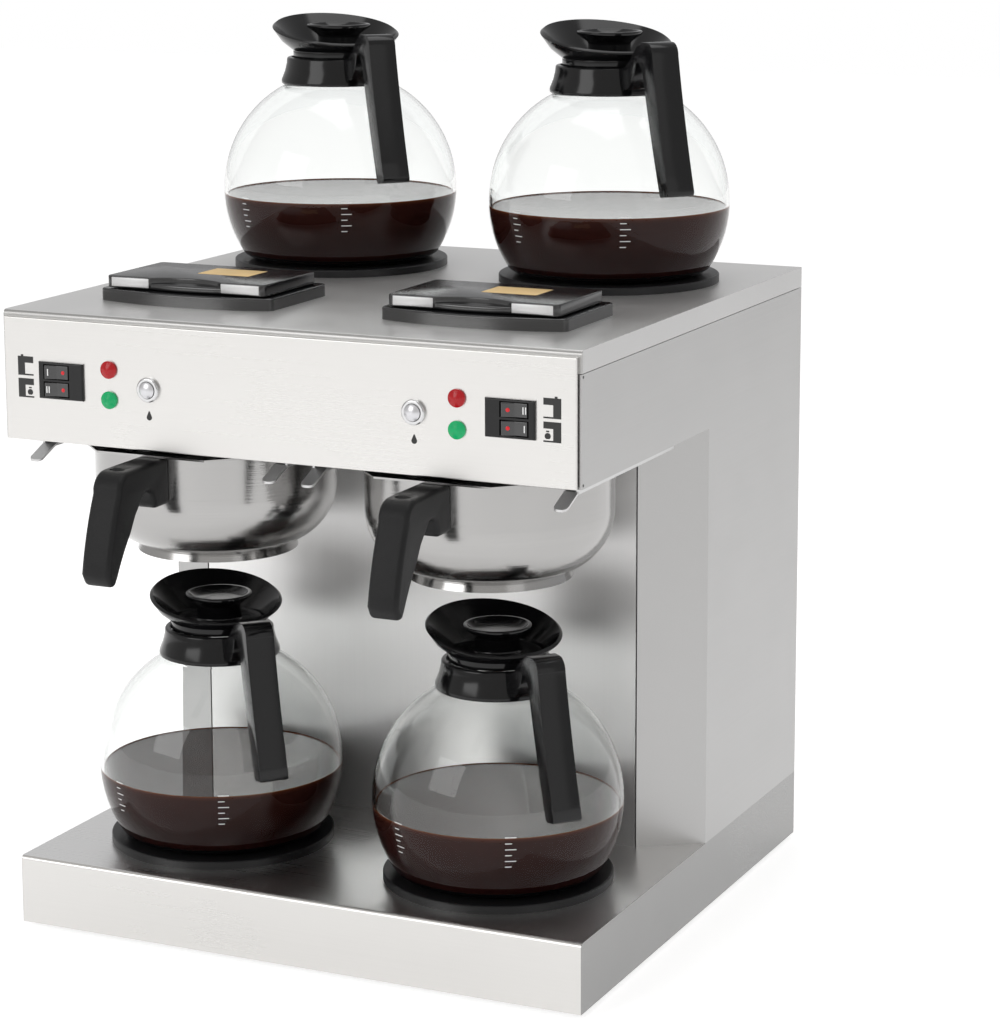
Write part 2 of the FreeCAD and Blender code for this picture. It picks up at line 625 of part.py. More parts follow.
# Brew baskets: a spun bowl with a drip ring and a flange with two flats, a wire rack on its
# floor, and a hooked handle.
def make_bowl(sign):
    corner = "(bowl_radius - ring_radius + 2)"
    rise = "(bowl_turn - ring_height)"
    bend = f"(({corner} ^ 2 + {rise} ^ 2) / (2 * {corner}))"
    inner_bend = f"({bend} - basket_wall)"
    floor_edge = f"(bowl_radius - {bend} + sqrt({inner_bend} ^ 2 - (bowl_turn - ring_height - 2.2) ^ 2))"
    wall = "basket_wall"
    profile = [("drain_radius", "3"), ("ring_radius - 3.2", "5.8"), (f"ring_radius - {wall}", "0"),
               ("ring_radius", "0"), ("ring_radius - 2", "ring_height", bend), ("bowl_radius", "bowl_turn"),
               ("bowl_radius", f"bowl_height + {wall}"), (f"bowl_radius - {wall}", f"bowl_height + {wall}"),
               (f"bowl_radius - {wall}", "bowl_turn", f"-{inner_bend}"), (floor_edge, "ring_height + 2.2"),
               ("drain_radius", f"3 + {wall}")]
    body = turned(f"{sign} * basket_x", "basket_y", "basket_base", profile)
    flange = new_sketch(body, "XY_Plane", "bowl_height")
    front = "(flange_half * 0.45)"
    outline(flange, [("flange_half", "-flat_half"), ("flange_half", "flat_half"),
                     (front, "flange_reach"), (f"-{front}", "flange_reach"),
                     ("-flange_half", "flat_half"), ("-flange_half", "-flat_half"),
                     (f"-{front}", "-flange_reach"), (front, "-flange_reach")])
    circle(flange, "0", "0", f"bowl_radius - {wall}")
    return pad(body, flange, wall)


# The handle's side view: reach from the bowl's axis, and height.
BRACKET_LOW = ("-94", "297")
BRACKET_TOP = ("-97", "304")
UNDER_ARCH = ("-112", "309")
INNER_KNEE = ("-127", "287")
TIP_BACK = ("-141", "261")
TIP_FRONT = ("-153", "264")
OUTER_KNEE = ("-136", "arch_top - 9")
ARCH_FRONT = ("-124", "arch_top")


def make_basket_handle(sign):
    body = new_body(f"{sign} * basket_x", "basket_y", "0")
    root = "-bowl_radius + 4"
    side = [(root, BRACKET_LOW[1]), BRACKET_LOW, (*BRACKET_TOP, "-9"), UNDER_ARCH, INNER_KNEE,
            TIP_BACK, TIP_FRONT, OUTER_KNEE, ARCH_FRONT, (root, "arch_top")]
    pad(body, outline(new_sketch(body, "YZ_Plane"), side), "handle_width", both_ways=True)
    bore = "bowl_radius + 0.15"
    turn_about_axis(body, rectangle(new_sketch(body, "XZ_Plane"), "0", "250", bore, "arch_top + 10"),
                    "PartDesign::Groove")
    rounded = (OUTER_KNEE, ARCH_FRONT, INNER_KNEE, UNDER_ARCH)
    bends = [(value(reach), value(height)) for reach, height in rounded]
    round_edges(body, "7", lambda mid, way: any(abs(mid.y - y) + abs(mid.z - z) < 0.1 for y, z in bends))
    side_face = value("handle_width / 2")
    reach = value("-bowl_radius - 12")
    return round_edges(body, "2.4", lambda mid, way: abs(abs(mid.x) - side_face) < 0.05 and mid.y < reach)


def make_rack(sign):
    wire = 1.5
    bar_wire = 1.2
    ring = 44
    x, y, z = f"{sign} * basket_x", "basket_y", "(basket_base + 8.8)"
    hoop = doc.addObject("Part::Torus", "hoop")
    hoop.Radius1 = ring
    hoop.Radius2 = wire
    place(hoop, x, y, z)
    bars = [hoop]
    for bar in (-32, -16, 0, 16, 32):
        half = math.sqrt(ring * ring - bar * bar)
        bars.append(rod(f"{x} + {bar}", f"{y} - {half}", z, f"{bar_wire}", f"{2 * half}", ALONG_Y))
    return fuse(bars)


def make_baskets():
    for side, sign in SIDES:
        keep(f"basket_bowl_{side}", make_bowl(sign))
        keep(f"basket_handle_{side}", make_basket_handle(sign))
        keep(f"basket_rack_{side}", make_rack(sign))


# Decanters: a blown glass globe, a collar with a free-ended grip, and a lid with a tilted
# funnel and a knob. Every grip points forward and to the right.
GRIP_WAY = Rotation(Vector(0, 0, 1), -42)


def make_glass(place_at):
    inner = "(globe_radius - glass)"
    outer_foot = "sqrt(globe_radius ^ 2 - (globe_centre - foot_bend) ^ 2)"
    outer_shoulder = "sqrt(globe_radius ^ 2 - (shoulder - globe_centre) ^ 2)"
    inner_foot = f"sqrt({inner} ^ 2 - (globe_centre - foot_bend - glass) ^ 2)"
    inner_shoulder = f"sqrt({inner} ^ 2 - (shoulder - globe_centre) ^ 2)"
    foot_round = f"((({outer_foot} - glass_foot) ^ 2 + foot_bend ^ 2) / (2 * foot_bend))"
    profile = [("0", "0"), ("glass_foot", "0", foot_round), (outer_foot, "foot_bend", "globe_radius"),
               (outer_shoulder, "shoulder", "-9"), ("neck_radius", "neck_start"),
               ("neck_radius", "neck_top"), ("neck_radius - glass", "neck_top"),
               ("neck_radius - glass", "neck_start", "11"), (inner_shoulder, "shoulder", f"-{inner}"),
               (inner_foot, "foot_bend + glass", "-12"), ("glass_foot", "glass"), ("0", "glass")]
    return turned(*place_at, profile, GRIP_WAY)


def make_grip(place_at):
    body = new_body(*place_at, GRIP_WAY)
    lean = "((grip_end_reach - grip_top_reach) / (grip_top - grip_end))"
    root = "(collar_top_radius - 1)"
    web = "(grip_top - 32)"
    inner = f"(grip_top_reach + {lean} * 32 - grip_depth - 2)"
    side = [(root, "collar_bottom + 3"), ("collar_base_radius + 9", "collar_bottom + 6", "-30"),
            (inner, web), ("grip_end_reach - grip_depth", "grip_end - 2"), ("grip_end_reach", "grip_end"),
            ("grip_top_reach", "grip_top"), ("grip_top_reach - 12", "grip_top"),
            ("grip_top_reach - 24", "grip_top - 7"), (root, "collar_top")]
    pad(body, outline(new_sketch(body, "XZ_Plane"), side), "grip_width", both_ways=True)
    face = value("grip_width / 2")
    start = value("collar_base_radius + 5")
    round_edges(body, "grip_round", lambda mid, way: abs(abs(mid.y) - face) < 0.05 and mid.x > start)
    bore = "(neck_radius + collar_gap)"
    shell = [(bore, "collar_bottom + 6"), ("collar_base_radius - 2.2", "collar_bottom"),
             ("collar_base_radius", "collar_bottom"), ("collar_base_radius", "collar_bottom + 2"),
             ("collar_top_radius + 0.6", "collar_top - 1.5"), ("collar_top_radius", "collar_top"),
             (bore, "collar_top")]
    turn_about_axis(body, outline(new_sketch(body, "XZ_Plane"), shell))
    mouth = [("0", "collar_bottom - 1"), ("collar_base_radius - 2.2", "collar_bottom - 1"),
             ("collar_base_radius - 2.2", "collar_bottom"), (bore, "collar_bottom + 6"),
             (bore, "collar_top + 20"), ("0", "collar_top + 20")]
    return turn_about_axis(body, outline(new_sketch(body, "XZ_Plane"), mouth), "PartDesign::Groove")


def make_lid(place_at):
    seat = "(neck_top + 0.2)"
    wall = "lid_wall"
    cone = f"(funnel_mouth_radius - {wall})"
    profile = [("0", "funnel_floor - 3"), (f"plug_radius - {wall}", "funnel_floor - 3"),
               (f"plug_radius - {wall}", "plug_drop"), ("plug_radius", "plug_drop"), ("plug_radius", seat),
               ("neck_radius - 0.2", seat), ("neck_radius - 0.2", f"{seat} + 1.6"),
               ("plug_radius", f"{seat} + 1.6"), ("plug_radius", "funnel_floor - 0.5"),
               ("plug_radius + 2", "funnel_floor + 1"), ("funnel_mouth_radius", "funnel_mouth"),
               (cone, "funnel_mouth"), (f"plug_radius + 2 - {wall}", "funnel_floor + 2.5"),
               (f"plug_radius - {wall}", "funnel_floor"), ("0", "funnel_floor")]
    body = turned(*place_at, profile, GRIP_WAY)
    low = "(rim_height - 70 * rim_slope)"
    high = "(rim_height + 70 * rim_slope)"
    above = [("-70", high), ("70", low), ("70", "200"), ("-70", "200")]
    trim = outline(new_sketch(body, "XZ_Plane"), above)
    pocket(body, trim, "150", both_ways=True)
    drips = new_sketch(body, "XY_Plane", "funnel_floor")
    for sign in (-1, 1):
        circle(drips, f"{sign} * (stem_radius + 5)", "0", "drip_hole")
        circle(drips, "0", f"{sign} * (stem_radius + 5)", "drip_hole")
    pocket(body, drips, "6")
    knob = [("0", "funnel_floor - 1"), ("stem_radius", "funnel_floor - 1"), ("stem_radius", "knob_top - 8"),
            ("knob_radius", "knob_top - knob_rim"), ("knob_radius", "knob_top"),
            ("knob_radius - knob_rim", "knob_top"), ("stem_radius", "knob_top - 4.2"), ("0", "knob_top - 4.2")]
    return turn_about_axis(body, outline(new_sketch(body, "XZ_Plane"), knob))


def make_decanters():
    for level, (depth, floor) in PLATES.items():
        for side, sign in SIDES:
            place_at = (f"{sign} * station_x", depth, f"{floor} + plate_height")
            keep(f"decanter_glass_{level}_{side}", make_glass(place_at))
            keep(f"decanter_handle_{level}_{side}", make_grip(place_at))
            keep(f"decanter_lid_{level}_{side}", make_lid(place_at))


# Filling points on the deck: a frame with a basin that hangs through the top cover, a hinged
# lid with a finger notch, and the pin between them.
def bowed(sketch, side, back, corner, bow):
    """Draw the plan of a filling point: straight sides and back, and a front that bows out."""
    return outline(sketch, [(f"-{side}", corner, bow), (side, corner), (side, back), (f"-{side}", back)])


def make_fill_frame(sign):
    body = new_body(f"{sign} * station_x", "0", DECK)
    plan = new_sketch(body, "XY_Plane")
    pad(body, bowed(plan, "fill_half", "fill_back", "fill_corner", "fill_bow * 2"), "fill_frame_height")
    top = value("fill_frame_height")
    round_edges(body, "5", lambda mid, way: abs(way.z) > 0.9)
    round_edges(body, "1.2", lambda mid, way: mid.z > top - 0.01)
    wall = "basin_wall"
    basin = new_sketch(body, "XY_Plane", "-basin_depth")
    rectangle(basin, f"-fill_mouth_half - {wall}", f"fill_mouth_front - {wall}",
              f"fill_mouth_half + {wall}", f"fill_mouth_back + {wall}")
    pad(body, basin, "basin_depth")
    mouth = new_sketch(body, "XY_Plane", "fill_frame_height")
    rectangle(mouth, "-fill_mouth_half", "fill_mouth_front", "fill_mouth_half", "fill_mouth_back")
    pocket(body, mouth, "fill_frame_height + basin_depth - basin_wall")
    floor = new_sketch(body, "XY_Plane", "-basin_depth + basin_wall")
    pocket(body, circle(floor, "0", "fill_mouth_back - 12", "basin_drain"), "2 * basin_wall")
    lugs = new_sketch(body, "XY_Plane", "fill_frame_height - 1")
    for low in ("barrel_half + seam", "-barrel_half - seam - lug_width"):
        rectangle(lugs, low, "hinge_y - lug_half", f"{low} + lug_width", "hinge_y + lug_half")
    pad(body, lugs, "hinge_rise - fill_frame_height + 3.4")
    bore = circle(new_sketch(body, "YZ_Plane"), "hinge_y", "hinge_rise", "hinge_pin_radius + hinge_play")
    return pocket(body, bore, "4 * fill_half", both_ways=True)


def make_fill_lid(sign):
    body = new_body(f"{sign} * station_x", "0", f"{DECK} + fill_frame_height + 0.3")
    side = "(fill_half - lid_inset)"
    back = "(hinge_y - 3.6)"
    corner = "(fill_corner + 2)"
    plan = new_sketch(body, "XY_Plane")
    pad(body, bowed(plan, side, back, corner, "fill_bow * 2"), "lid_height")
    top = value("lid_height")
    round_edges(body, "5", lambda mid, way: abs(way.z) > 0.9)
    round_edges(body, "1.4", lambda mid, way: mid.z > top - 0.01)
    notch = new_sketch(body, "XY_Plane", "lid_height")
    rectangle(notch, "-notch_half", "fill_corner - 20", "notch_half", "fill_corner - 8 + notch_depth")
    pocket(body, notch, "2 * lid_height")
    hollow = new_sketch(body, "XY_Plane")
    rectangle(hollow, f"-{side} + 3", f"{corner} + 8", f"{side} - 3", f"{back} - 3")
    pocket(body, hollow, "lid_height - lid_skin", along_normal=True)
    axis_z = "(hinge_rise - fill_frame_height - 0.3)"
    barrel = circle(new_sketch(body, "YZ_Plane"), "hinge_y", axis_z, "barrel_radius")
    arm = new_sketch(body, "YZ_Plane")
    rectangle(arm, f"{back} - 1", "0.2", "hinge_y", f"{axis_z} + barrel_radius")
    pad(body, arm, "2 * barrel_half", both_ways=True)
    pad(body, barrel, "2 * barrel_half", both_ways=True)
    bore = circle(new_sketch(body, "YZ_Plane"), "hinge_y", axis_z, "hinge_pin_radius + hinge_play")
    return pocket(body, bore, "4 * barrel_half", both_ways=True)


def make_fill_points():
    pins = []
    for side, sign in SIDES:
        keep(f"fill_frame_{side}", make_fill_frame(sign))
        keep(f"fill_lid_{side}", make_fill_lid(sign))
        length = "(barrel_half + seam + lug_width)"
        pins.append(rod(f"{sign} * station_x - {length}", "hinge_y", f"{DECK} + hinge_rise",
                        "hinge_pin_radius", f"2 * {length}", ALONG_X))
    keep("fill_hinge_pins", group(pins))


# Controls: twin rocker switches, indicator lamps and fill buttons.
def make_switches():
    housings = []
    for side, sign in SIDES:
        body = new_body(f"{sign} * switch_x", "casing_front - fascia_depth - switch_proud", "panel_z")
        face = rectangle(new_sketch(body, "XZ_Plane", "-switch_proud"), "-switch_half_width",
                         "-switch_half_height", "switch_half_width", "switch_half_height")
        pad(body, face, "switch_proud")
        round_edges(body, "1", lambda mid, way: mid.y < 0.01)
        rim = "(switch_cover + seam / 2)"
        rear = rectangle(new_sketch(body, "XZ_Plane", "-switch_body"),
                         f"-switch_half_width + {rim}", f"-switch_half_height + {rim}",
                         f"switch_half_width - {rim}", f"switch_half_height - {rim}")
        pad(body, rear, "switch_body - switch_proud")
        wells = new_sketch(body, "XZ_Plane")
        shift = f"{sign} * rocker_shift"
        for row in (-1, 1):
            high = "(rocker_half_height + rocker_play)"
            rectangle(wells, f"{shift} - rocker_well_half", f"{row} * rocker_gap - {high}",
                      f"{shift} + rocker_well_half", f"{row} * rocker_gap + {high}")
        pocket(body, wells, "12")
        pivots = new_sketch(body, "XY_Plane")
        circle(pivots, shift, "pivot_depth", "pivot_radius + pivot_play")
        pocket(body, pivots, "2 * (rocker_gap + rocker_half_height + pivot_length + 0.2)", both_ways=True)
        housings.append(body)
        for level, row in (("lower", -1), ("upper", 1)):
            keep(f"rocker_{side}_{level}", make_rocker(sign, row))
    keep("switch_housings", group(housings))


def make_rocker(sign, row):
    body = new_body(f"{sign} * (switch_x + rocker_shift)",
                    "casing_front - fascia_depth - switch_proud + pivot_depth",
                    f"panel_z + {row} * rocker_gap", Rotation(Vector(0, 0, 1), value("rocker_tilt")))
    plan = [("-rocker_half_width", "-3.2"), ("0", "-2.1"), ("rocker_half_width", "-3.2"),
            ("rocker_half_width - 2.6", "5"), ("2.6 - rocker_half_width", "5")]
    sketch = outline(new_sketch(body, "XY_Plane"), plan)
    pad(body, sketch, "2 * rocker_half_height", both_ways=True)
    round_edges(body, "0.6", lambda mid, way: mid.y < -1.5 and abs(mid.x) > 0.5)
    pivots = circle(new_sketch(body, "XY_Plane"), "0", "0", "pivot_radius")
    return pad(body, pivots, "2 * (rocker_half_height + pivot_length)", both_ways=True)


def make_lamps():
    lens = [("0", "-9"), ("lamp_hole - 0.1", "-9"), ("lamp_hole - 0.1", "0"), ("lamp_radius", "0"),
            ("lamp_radius", "1.4", dome("lamp_radius", 2)), ("0", "3.4")]
    for label, height in (("red_lamps", "red_lamp_z"), ("green_lamps", "green_lamp_z")):
        lamps = [turned(f"{sign} * lamp_x", "casing_front - fascia_depth", height, lens, ALONG_Y.inverted())
                 for _, sign in SIDES]
        keep(label, group(lamps))


def make_buttons():
    ring = [("bezel_bore", "-12"), ("bezel_radius - 1.5", "-12"), ("bezel_radius - 1.5", "0"),
            ("bezel_radius", "0"), ("bezel_radius", "1.4", "1.2"), ("bezel_radius - 1.1", "2.4"),
            ("bezel_bore", "2.4")]
    cap = [("0", "-14"), ("button_radius", "-14"), ("button_radius", "3", dome("button_radius", 1.7)),
           ("0", "4.7")]
    bezels = []
    for side, sign in SIDES:
        place_at = (f"{sign} * button_x", "casing_front - fascia_depth", "button_z")
        bezels.append(turned(*place_at, ring, ALONG_Y.inverted()))
        keep(f"autofill_button_{side}", turned(*place_at, cap, ALONG_Y.inverted()))
    keep("button_bezels", group(bezels))


# Water path inside the casing: tanks, their heaters, the tubes over to the spray heads.
def make_tank(sign):
    wall = "sheet"
    x = f"({sign} * tank_x - tank_width / 2)"
    z = f"({BASE_TOP} + tank_gap)"
    shell = block(x, "tank_front", z, "tank_width", "tank_depth", "tank_height")
    room = block(f"{x} + {wall}", f"tank_front + {wall}", f"{z} + {wall}", f"tank_width - 2 * {wall}",
                 f"tank_depth - 2 * {wall}", f"tank_height - 2 * {wall}")
    top = f"{z} + tank_height - 4"
    heater_hole = rod(f"{sign} * tank_x", "heater_y", top, "rod_radius * 4 + 1", "8")
    tube_hole = rod(f"{sign} * basket_x", "tube_y", top, "tube_radius + 0.1", "8")
    return cut(cut(cut(shell, room), heater_hole), tube_hole)


def make_heater(sign):
    x = f"{sign} * tank_x"
    top = f"({BASE_TOP} + tank_gap + tank_height)"
    spread = "(rod_radius * 2.5)"
    length = "(tank_height * 0.7)"
    flange = rod(x, "heater_y", top, "rod_radius * 5.5", "5")
    legs = [rod(f"{x} + {way} * {spread}", "heater_y", f"{top} - {length}", "rod_radius", f"{length} + 14")
            for way in (-1, 1)]
    bend = doc.addObject("Part::Torus", "bend")
    bend.Angle3 = 180
    bind(bend, Radius1=spread, Radius2="rod_radius")
    place(bend, x, "heater_y", f"{top} - {length}", Rotation(Vector(1, 0, 0), -90))
    return fuse([flange, bend] + legs)


def make_water_tube(sign):
    x = f"{sign} * basket_x"
    bottom_front = f"({HOOD_BOTTOM} + 8)"
    bottom_back = f"({BASE_TOP} + tank_gap + tank_height - 12)"
    turn_z = "(tube_height - tube_bend)"
    parts = [rod(x, "basket_y", bottom_front, "tube_radius", f"{turn_z} - {bottom_front}"),
             rod(x, "tube_y", bottom_back, "tube_radius", f"{turn_z} - {bottom_back}"),
             rod(x, "basket_y + tube_bend", "tube_height", "tube_radius",
                 "tube_y - basket_y - 2 * tube_bend", ALONG_Y)]
    for depth, roll in (("basket_y + tube_bend", 180), ("tube_y - tube_bend", 90)):
        bend = doc.addObject("Part::Torus", "bend")
        bend.Angle3 = 90
        bind(bend, Radius1="tube_bend", Radius2="tube_radius")
        turn = Rotation(Vector(1, 0, 0), roll - 90).multiply(Rotation(Vector(0, 1, 0), -90))
        parts.append(place(bend, x, depth, turn_z, turn))
    return fuse(parts)


def make_spray_head(sign):
    profile = [("0", "-3"), ("spray_radius - 1", "-3"), ("spray_radius", "-2"), ("spray_radius", "-0.1"),
               ("tube_radius + 3.5", "-0.1"), ("tube_radius + 3.5", "8"), ("0", "8")]
    body = turned(f"{sign} * basket_x", "basket_y", HOOD_BOTTOM, profile)
    first = circle(new_sketch(body, "XY_Plane", "-0.1"), "spray_radius * 0.7", "0", "1.6")
    pocket(body, first, "6")
    jet = body.Tip
    ring = body.newObject("PartDesign::PolarPattern", "jets")
    ring.Originals = [jet]
    ring.Axis = (first, ["N_Axis"])
    ring.Angle = 360
    ring.Occurrences = 8
    body.Tip = ring
    doc.recompute()
    return body


def make_water_path():
    keep("water_tanks", group([make_tank(sign) for _, sign in SIDES]))
    keep("tank_heaters", group([make_heater(sign) for _, sign in SIDES]))
    keep("water_tubes", group([make_water_tube(sign) for _, sign in SIDES]))
    keep("spray_heads", group([make_spray_head(sign) for _, sign in SIDES]))


# Rear fittings: the inlet valve with its threaded spigot, and the cable gland.
def make_rear_fittings():
    skin = f"({REAR_PANEL} + sheet)"
    start = f"({REAR} + rear_reach - inlet_length)"
    front = f"({skin} - sheet - valve_set_back)"
    spigot = rod("inlet_x", start, "rear_fitting_z", "inlet_radius", "inlet_length", ALONG_Y)
    collar = rod("inlet_x", skin, "rear_fitting_z", "inlet_radius + 5", f"{start} - {skin}", ALONG_Y)
    neck = rod("inlet_x", front, "rear_fitting_z", "inlet_radius", "sheet + valve_set_back", ALONG_Y)
    chamber = block("inlet_x - valve_side / 2", f"{front} - valve_depth", "rear_fitting_z - valve_side / 2",
                    "valve_side", "valve_depth", "valve_side")
    coil = block("inlet_x - coil_width / 2", f"{front} - valve_depth + 6", "rear_fitting_z + valve_side / 2",
                 "coil_width", "coil_depth", "coil_height")
    bore = rod("inlet_x", f"{skin} - sheet - 30", "rear_fitting_z", "inlet_bore", "100", ALONG_Y)
    keep("inlet_valve", cut(fuse([spigot, collar, neck, chamber, coil]), bore))

    nut = doc.addObject("Part::Prism", "nut")
    nut.Polygon = 6
    bind(nut, Circumradius="gland_radius + 3", Height="nut_height")
    place(nut, "-inlet_x", skin, "rear_fitting_z", ALONG_Y)
    cap = doc.addObject("Part::Cone", "cap")
    bind(cap, Radius1="gland_radius", Radius2="gland_radius - 3", Height="gland_height")
    place(cap, "-inlet_x", f"{skin} + nut_height", "rear_fitting_z", ALONG_Y)
    shank = rod("-inlet_x", f"{skin} - sheet - 10", "rear_fitting_z", "gland_radius - 1.2",
                "sheet + 10", ALONG_Y)
    bore = rod("-inlet_x", f"{skin} - 30", "rear_fitting_z", "gland_bore", "60", ALONG_Y)
    keep("cable_gland", cut(fuse([nut, cap, shank]), bore))


# Control board behind the front panel, on four posts, with its relays and a terminal strip.
def make_control_board():
    floor = f"({HOOD_BOTTOM} + sheet)"
    half = "(board_length / 2)"
    front = -40
    posts = [rod(f"{sign} * ({half} - 6)", depth, floor, "3", "post_height")
             for sign in (-1, 1) for depth in (f"{front} + 6", f"{front} + board_width - 6")]
    board = block(f"-{half}", f"{front}", f"{floor} + post_height",
                  "board_length", "board_width", "board_thickness")
    level = f"({floor} + post_height + board_thickness)"
    relays = [block(f"-{half} + 10 + {slot} * 27", f"{front} + 6", level,
                    "relay_side + 4", "relay_side", "relay_side") for slot in range(4)]
    strip = block(f"-{half} + 15", f"{front} + 42", level, "board_length - 30", "12", "11")
    keep("control_board", fuse([board, strip] + posts + relays))


# Screws: pan heads that hold the rear cover, each a dome on a shank.
def make_screws():
    profile = [("0", "-6"), ("screw_shank", "-6"), ("screw_shank", "0"), ("screw_head", "0"),
               ("screw_head", "0.8", dome("screw_head", 1.6)), ("0", "2.4")]
    heights = (f"{BASE_TOP} + 14", f"{HOOD_BOTTOM} - 20", f"{DECK} - skirt_height - 12")
    across = f"({HALF} - screw_inset)"
    screws = [turned(f"{sign} * {across}", f"{REAR_PANEL} + sheet", height, profile, ALONG_Y)
              for _, sign in SIDES for height in heights]
    keep("rear_cover_screws", group(screws))
    rear = nodes["rear_cover"]
    holes = new_sketch(rear, "XZ_Plane")
    for _, sign in SIDES:
        for height in heights:
            circle(holes, f"{sign} * {across}", height, "screw_shank + 0.1")
    pocket(rear, holes, "4 * sheet", both_ways=True)


make_base()
make_column()
make_hood()
make_warmers()
make_rails()
make_baskets()
make_decanters()
make_fill_points()
make_switches()
make_lamps()
make_buttons()
make_water_path()
make_rear_fittings()
make_control_board()
make_screws()
doc.recompute()

for thing in doc.Objects:
    if "Invalid" in thing.State or "Error" in thing.State:
        raise RuntimeError(f"{thing.Label} did not build: {thing.State}")
for label, thing in nodes.items():
    if thing.Shape.isNull() or not thing.Shape.isValid() or not thing.Shape.Solids:
        raise RuntimeError(f"{label} has no valid shape")

os.makedirs("parts", exist_ok=True)
for label, thing in nodes.items():
    thing.Shape.exportStep(f"parts/{label}.step")

box = Part.makeCompound([thing.Shape for thing in nodes.values()]).BoundBox
print(f"{len(nodes)} pieces, X {box.XMin:.2f}..{box.XMax:.2f}, Y {box.YMin:.2f}..{box.YMax:.2f}, "
      f"Z {box.ZMin:.2f}..{box.ZMax:.2f}")
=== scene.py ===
# %% [markdown]
# # A two-station coffee brewer
#
# This notebook dresses a finished engineering model of a commercial coffee brewer: a base with
# two warming plates, a column, a hood with two brew baskets and the switches, a deck with two
# more plates, and four glass decanters. The engineering model gives every piece its true size
# and place, and the places used here are read from it. The finer outlines of the moulded pieces
# are drawn in millimetres about those places.

# %% Load the frame
import math

import bmesh
import bpy
from mathutils import Euler, Matrix, Vector


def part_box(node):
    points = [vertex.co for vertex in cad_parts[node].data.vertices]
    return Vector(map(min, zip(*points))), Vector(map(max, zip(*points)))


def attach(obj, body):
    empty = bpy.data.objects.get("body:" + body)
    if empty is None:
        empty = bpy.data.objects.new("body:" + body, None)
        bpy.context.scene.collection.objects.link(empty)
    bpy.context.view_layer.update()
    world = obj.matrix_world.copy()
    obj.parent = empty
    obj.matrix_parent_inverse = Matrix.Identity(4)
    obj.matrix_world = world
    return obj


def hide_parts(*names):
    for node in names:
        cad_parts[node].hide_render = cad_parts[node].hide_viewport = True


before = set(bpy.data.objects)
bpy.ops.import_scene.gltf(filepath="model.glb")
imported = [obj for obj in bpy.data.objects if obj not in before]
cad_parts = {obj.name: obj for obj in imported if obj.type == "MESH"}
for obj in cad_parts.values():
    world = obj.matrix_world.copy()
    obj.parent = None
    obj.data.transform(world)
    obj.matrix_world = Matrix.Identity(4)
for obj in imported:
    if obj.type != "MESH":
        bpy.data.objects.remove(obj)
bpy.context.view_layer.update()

MM = 0.001
SIDES = ("left", "right")
LEVELS = ("lower", "upper")

# %% [markdown]
# ## The camera
#
# The brewer is seen from the front and a little from the right, from a little above its top. A
# long lens two metres away keeps its sides nearly parallel, the way product pictures are taken.
# The frame is shifted down rather than tilted further, which keeps the uprights near upright.
# A lens is chosen first, then the distance, because moving closer with a shorter lens would make
# the near corner of the base swell.

# %% Camera
EYE = Vector((0.9145, -1.8223, 0.7192))
YAW, PITCH, ROLL = math.radians(24.91), math.radians(10.64), math.radians(0.2)
LENS, SENSOR, SHIFT = 108.2, 36, -0.1

optics = bpy.data.cameras.new("front_right")
optics.lens = LENS
optics.sensor_width = SENSOR
optics.shift_y = SHIFT
optics.clip_start = 0.05
camera = bpy.data.objects.new("front_right", optics)
bpy.context.scene.collection.objects.link(camera)
camera.location = EYE
camera.rotation_euler = Euler((math.radians(90) - PITCH, ROLL, YAW), "XYZ")
bpy.context.scene.camera = camera
print("camera at", [round(part, 3) for part in EYE], "lens", round(LENS, 1), "mm")

# %% [markdown]
# ## Floor and light
#
# Steel has no colour of its own: it shows what stands around it. So the light is planned as a
# room. A pale floor lies under the brewer. One large soft panel stands in front and to the left,
# a weak one to the right fills the shadows, and a third shines from above. The room itself is
# painted into the world as a pale grey, a little dimmer behind the brewer than in front of it.
# Whatever is seen straight or through glass gets plain white instead, for a clean background.

# %% Stage
def only(piece):
    """Make one object the only selected and active one."""
    bpy.ops.object.select_all(action="DESELECT")
    piece.select_set(True)
    bpy.context.view_layer.objects.active = piece
    return piece


def nothing_selected():
    """Leave nothing selected, so that an operator acts on the new shape alone."""
    bpy.ops.object.select_all(action="DESELECT")


nothing_selected()
bpy.ops.mesh.primitive_plane_add(size=14, location=(0, 0, 0))
floor = bpy.context.object
floor.name = "studio_floor"
bpy.context.scene.view_settings.view_transform = "Standard"
paper = bpy.data.materials.new("studio_paper")
paper.use_nodes = True
paper_shader = paper.node_tree.nodes["Principled BSDF"]
paper_shader.inputs["Base Color"].default_value = (0.90, 0.90, 0.90, 1)
paper_shader.inputs["Roughness"].default_value = 0.9
paper_shader.inputs["Emission Color"].default_value = (1, 1, 1, 1)
paper_shader.inputs["Emission Strength"].default_value = 0.50
floor.data.materials.append(paper)


def soft_panel(name, place, aim, width, height, power):
    """A rectangular lamp that faces a point."""
    lamp = bpy.data.lights.new(name, "AREA")
    lamp.shape = "RECTANGLE"
    lamp.size = width
    lamp.size_y = height
    lamp.energy = power
    holder = bpy.data.objects.new(name, lamp)
    bpy.context.scene.collection.objects.link(holder)
    holder.location = place
    holder.rotation_euler = (Vector(aim) - Vector(place)).to_track_quat("-Z", "Y").to_euler()
    return holder


MIDDLE = (0, 0, 0.25)
soft_panel("key_panel", (-1.3, -2.6, 1.5), MIDDLE, 1.6, 1.6, 22)
soft_panel("fill_panel", (2.6, -1.4, 1.0), MIDDLE, 1.2, 1.8, 2.5)
soft_panel("top_panel", (0.1, 0.2, 2.6), MIDDLE, 1.6, 1.6, 16)
print("stage set with", len(bpy.data.lights), "panels")

